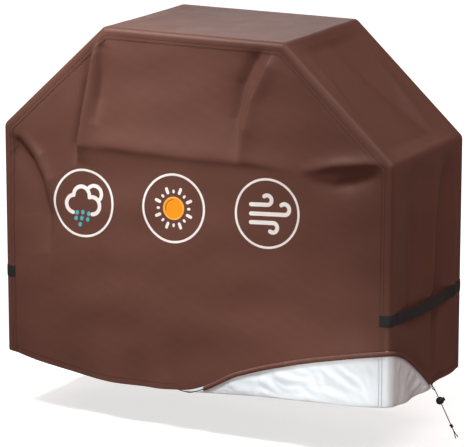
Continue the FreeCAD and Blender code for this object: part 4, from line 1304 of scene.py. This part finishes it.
middleZ = webbing["high"] - webbing["width"] / 2
innerSpan = halfSpan - webbing["twist"]
for label, sign in (("right", 1), ("left", -1)):
    for end in (-1, 1):
        handleEnd(label, sign, end, middleZ)
    sewn = stitchRow("%s_box_stitches" % label, boxStitch(sign, -1, middleZ) + boxStitch(sign, 1, middleZ),
                     handleThread, size=(0.0030, 0.0008, 0.0005), pitch=0.0036)
    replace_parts(sewn, "%s_handle_stitching" % label)
    spanY, spanX, spanZ = strapSpan(sign, middleZ)
    swung = "%s_handle" % label
    # each part: where it starts and ends on the fixed body's side and on the swung one's
    for part, fixedY, swungY, count in (("front_twist", -halfSpan, -innerSpan, 14),
                                        ("middle", -innerSpan, innerSpan, 60),
                                        ("back_twist", halfSpan, innerSpan, 14)):
        ys = np.linspace(min(fixedY, swungY), max(fixedY, swungY), count)
        xs = np.interp(ys, spanY, spanX)
        outs = np.stack([np.full(count, float(sign)), -sign * np.gradient(xs, ys)], axis=1)
        strap = webbingPiece("%s_strap_%s" % (label, part), list(zip(xs, ys)),
                             np.interp(ys, spanY, spanZ), outs)
        if part == "middle":
            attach(strap, swung)
        else:
            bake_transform(strap)
        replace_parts(strap, "%s_handle_strap" % label)
print("handles ready")

# the drawcord's tail: two strands, the lock, a knot and the cut ends
tail = {
    "frontExit": 0.00875,    # how far beyond the side each strand leaves its casing
    "rearExit": -0.00475,
    "leanRight": 0.357,
    "leanBack": 0.204,
    "out": 0.009,            # where the strands meet: out from the side, back and down from the hem
    "back": 0.057,
    "drop": 0.030,
    "spacing": 0.0036,       # between the strands
    "straightFrom": 0.016,   # the strands are straight from here down
    "lockAt": 0.040,
    "strandEnd": 0.1305,
    "knotAt": 0.137,
    "tipsAt": 0.1435,
    "tipLength": 0.040,
    "tipSpread": 0.0045,
}
lean = math.hypot(tail["leanRight"], tail["leanBack"])
tailDown = floats((tail["leanRight"], tail["leanBack"], -math.sqrt(1 - lean ** 2)))
tailAcross = floats((-tail["leanBack"], tail["leanRight"], 0)) / lean
tailOut = np.cross(tailAcross, -tailDown)
tailStart = floats((halfWidth + tail["out"], tail["back"], hemZ - tail["drop"]))


# a place down the tail: on its axis (0), its front strand (-1) or its rear one (1)
def alongTail(distance, strand=0):
    return tailStart + tailDown * distance + tailAcross * strand * tail["spacing"] / 2


# the turned-up corner's edge on the side, as one arc
def cornerArc(y):
    top = floats((-halfDepth, hemZ + cover["turnHeight"]))
    foot = floats((cover["turnEnd"], hemZ - cover["sideBow"] / 2))
    chord = np.linalg.norm(foot - top)
    along = (foot - top) / chord
    bowed = cover["turnSideBow"]
    radius = (chord ** 2 / 4 + bowed ** 2) / (2 * bowed)
    centre = (top + foot) / 2 + floats((-along[1], along[0])) * (bowed - radius)
    return centre[1] + math.sqrt(radius ** 2 - (y - centre[0]) ** 2)


# where a strand leaves its casing, and which way it points there
def casingEnd(x, edge, y, before):
    end, earlier = [floats((x, place, edge(place))) for place in (y, before)]
    return end, (end - earlier) / np.linalg.norm(end - earlier)


frontEnd, frontWay = casingEnd(halfWidth + tail["frontExit"], lambda y: cornerArc(y) - halfCasing,
                               hemBand["outsideEnd"], -0.020)
rearEnd, rearWay = casingEnd(halfWidth + tail["rearExit"], lambda y: float(sideHem(y)) + halfCasing,
                             hemBand["insideEnd"], 0.170)
strandPlaces = (0, tail["straightFrom"], tail["strandEnd"])
strandRoutes = {
    "drawcord_strand_front": [frontEnd, frontEnd + frontWay * 0.016,
                              *[alongTail(place, -1) for place in strandPlaces]],
    "drawcord_strand_rear": [rearEnd, rearEnd + rearWay * 0.015,
                             floats((rearEnd[0] + 0.0025, 0.053, rearEnd[2] - 0.016)),
                             *[alongTail(place, 1) for place in strandPlaces]],
}


def braidLook():
    look = Look("braided_black")
    where = look.coordinates("UV")
    u, v = look.separated(where)[:2]
    one = ((u * 900 + v * 25).math("SINE") * 0.5 + 0.5)
    two = ((u * 900 - v * 25).math("SINE") * 0.5 + 0.5)
    look.set(Base_Color=look.mix(one * two, shade(8, 8, 9), shade(24, 24, 26)), Roughness=0.62 + 0.1 * one,
             Normal=look.bump(one * two, 0.4, 0.0004))
    return look.material


braid = braidLook()
plastic = Look("lock_black")
where = plastic.coordinates()
grain = plastic.noise(900.0, 3.0, 0.6, where)
plastic.set(Base_Color=plastic.mix(grain, shade(17, 18, 19), shade(28, 29, 31)),
            Roughness=0.34 + 0.14 * grain, Normal=plastic.bump(grain, 0.12, 0.0003))
steel = Look("spring_steel")
ripple = steel.noise(500.0, 2.0, 0.5, steel.coordinates())
steel.set(Base_Color=steel.mix(ripple, (0.45, 0.46, 0.48, 1), (0.62, 0.63, 0.65, 1)), Metallic=1.0,
          Roughness=0.22 + 0.15 * ripple)


# points made about the tail's own axis, laid at a distance down it
def turned(points, distance):
    points = floats(points)
    return (alongTail(distance) + points[:, :1] * tailOut + points[:, 1:2] * tailAcross
            - points[:, 2:3] * tailDown)


for index, (rise, spin, size) in enumerate(((0.0024, 0.4, 1.0), (-0.0026, 1.5, 0.94))):
    angles = np.linspace(0, 2 * math.pi, 73)[:-1]
    loopPoints = np.stack([np.sin(angles) + 2 * np.sin(2 * angles), np.cos(angles) - 2 * np.cos(2 * angles),
                           -np.sin(3 * angles)], axis=1)
    loopPoints = loopPoints * floats((0.00155, 0.00155, 0.0022)) * size
    spun = np.stack([loopPoints[:, 0] * math.cos(spin) - loopPoints[:, 1] * math.sin(spin),
                     loopPoints[:, 0] * math.sin(spin) + loopPoints[:, 1] * math.cos(spin),
                     loopPoints[:, 2] + rise], axis=1)
    path = turned(spun, tail["knotAt"])
    ringSet = ringsAlong(np.concatenate([path[-1:], path, path[:1]]), 0.00165, 10)[1:-1]
    knot = tubePiece("knot_loop_%d" % index, ringSet, closed=True)
    knot.data.materials.append(braid)
    shadeSmooth(knot, 70)
    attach(knot, "root")
    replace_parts(knot, "cord_knot")

for sign in (-1, 1):
    below = alongTail(tail["tipsAt"], sign)
    spread = tailOut * sign * tail["tipSpread"] + tailAcross * sign * 0.001
    path = rounded([below - tailDown * 0.003, below + tailDown * 0.014,
                    below + tailDown * tail["tipLength"] + spread], 0.004, 0.001)
    sizes = np.full(len(path), hemBand["cordHalf"])
    sizes[-3:] = (0.00155, 0.0013, 0.0008)
    letter = "a" if sign < 0 else "b"
    tip = tubePiece("cord_end_%s" % letter, ringsAlong(path, sizes, 10))
    tip.data.materials.append(braid)
    shadeSmooth(tip, 60)
    seal = tubePiece("cord_seal_%s" % letter,
                     ringsAlong(path[-9:-2], floats([0.0017] + [0.0019] * 5 + [0.0017]), 12))
    seal.data.materials.append(plastic.material)
    for part in (tip, seal):
        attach(part, "root")
        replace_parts(part, "cord_tips")

for node in ("cord_lock_body", "cord_lock_button"):
    carried = bpy.data.objects[node]
    carried.data.materials.clear()
    carried.data.materials.append(plastic.material)

# the spring behind the button, a coil of wire carried with the lock
coil = {"turns": 3, "steps": 108, "radius": 0.0042, "wire": 0.00034, "first": -0.0106, "last": -0.0059,
        "seat": -0.011}
angles = np.linspace(0, 2 * math.pi * coil["turns"], coil["steps"] + 1)
coilPath = np.stack([np.linspace(coil["first"], coil["last"], len(angles)), coil["radius"] * np.cos(angles),
                     coil["radius"] * np.sin(angles)], axis=1)
spring = tubePiece("lock_spring_coil", ringsAlong(turned(coilPath, tail["lockAt"]), coil["wire"], 8))
spring.data.materials.append(steel.material)
shadeSmooth(spring, 60)
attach(spring, "cord_lock")
turned([(coil["seat"], 0, 0)], tail["lockAt"])[0].tolist()
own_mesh(spring)
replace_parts(spring, "cord_lock_spring")

for name, route in strandRoutes.items():
    deselectAll()
    bpy.ops.curve.primitive_nurbs_path_add()
    strand = bpy.context.object
    strand.name = name + "_cord"
    strand.data.splines.clear()
    spline = strand.data.splines.new("NURBS")
    spline.points.add(len(route) - 1)
    for point, place in zip(spline.points, route):
        point.co = (*place, 1)
    spline.order_u = 3
    spline.use_endpoint_u = True
    spline.resolution_u = 14
    strand.data.resolution_u = 14
    strand.data.bevel_depth = hemBand["cordHalf"]
    strand.data.bevel_resolution = 4
    strand.data.use_fill_caps = True
    strand.data.materials.append(braid)
    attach(strand, "root")
    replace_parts(strand, name)
    length = sum(float(np.linalg.norm(b - a)) for a, b in zip(route, route[1:]))
print("tail ready")


# camera, lights and floor
def lampAt(name, place, target, power, size, colour=(1, 1, 1), spread=180):
    light = bpy.data.lights.new(name, "AREA")
    light.energy = power
    light.color = colour
    light.shape = "DISK"
    light.size = size
    light.spread = math.radians(spread)
    lamp = bpy.data.objects.new(name, light)
    scene.collection.objects.link(lamp)
    lamp.location = place
    direction = Vector(target) - Vector(place)
    lamp.rotation_euler = direction.to_track_quat("-Z", "Y").to_euler()


camera = bpy.data.objects.new("camera", bpy.data.cameras.new("camera"))
scene.collection.objects.link(camera)
camera.location = (4.714, -8.766, 1.655)
camera.rotation_euler = (math.radians(90 - 13.27), 0, math.radians(28.23))
camera.data.lens = 231.26
camera.data.sensor_width = 36
scene.camera = camera

lampAt("key", (-0.95, -1.95, 2.35), (-0.12, -0.3, -0.85), 11.5, 0.9, (0.92, 0.98, 1.0), 40)
lampAt("topFill", (2.7, -0.2, 2.9), (0.3, 0, -0.2), 66, 2.8, (1.0, 0.93, 0.90))
lampAt("flapFill", (1.1, -3.0, -1.1), (0.52, -0.3, -1.17), 0.45, 0.4, (1.0, 1.0, 1.0), 18)
lampAt("backFill", (-2.2, 4.8, 2.6), (0, 0, -0.5), 40, 2.0)
lampAt("sideFill", (2.7, -4.6, 0.4), (0.7, -0.1, -0.6), 30, 0.6, (1.0, 0.93, 0.90))

world = bpy.data.worlds.new("studio")
scene.world = world
world.use_nodes = True
tree = world.node_tree
tree.nodes.clear()
# dim, warm light on the cover, and white behind it
seen = Value(addNode(tree, "ShaderNodeLightPath", {}, {}).outputs["Is Camera Ray"])
dim = addNode(tree, "ShaderNodeBackground", {}, {"Color": (1.0, 0.66, 0.60, 1), "Strength": 0.22})
bright = addNode(tree, "ShaderNodeBackground", {}, {"Color": (1, 1, 1, 1), "Strength": 1.0})
both = addNode(tree, "ShaderNodeMixShader", {},
               {0: seen, 1: Value(dim.outputs[0]), 2: Value(bright.outputs[0])})
addNode(tree, "ShaderNodeOutputWorld", {}, {"Surface": Value(both.outputs[0])})

bpy.ops.mesh.primitive_plane_add(size=40, location=(0, 0, -1.372))
floor = bpy.context.object
floor.name = "floor"
floorLook = Look("floor_white_with_painted_shade")
# painted shade: the floor's glow is grey round the cover's foot, where its shadow falls, and fades to white
# further out
x, y = floorLook.separated(floorLook.coordinates())[:2]
awayFromPaintedShade = ((x * x + y * y).math("SQRT") * 0.85 - 0.45).clamp()
floorLook.set(Base_Color=(0.6, 0.6, 0.6, 1), Roughness=0.9, Emission_Strength=1.0,
              Emission_Color=floorLook.mix(awayFromPaintedShade, (0.66, 0.66, 0.66, 1), (1, 1, 1, 1)))
floor.data.materials.append(floorLook.material)
floor.visible_diffuse = False
floor.visible_glossy = False
print("stage ready")
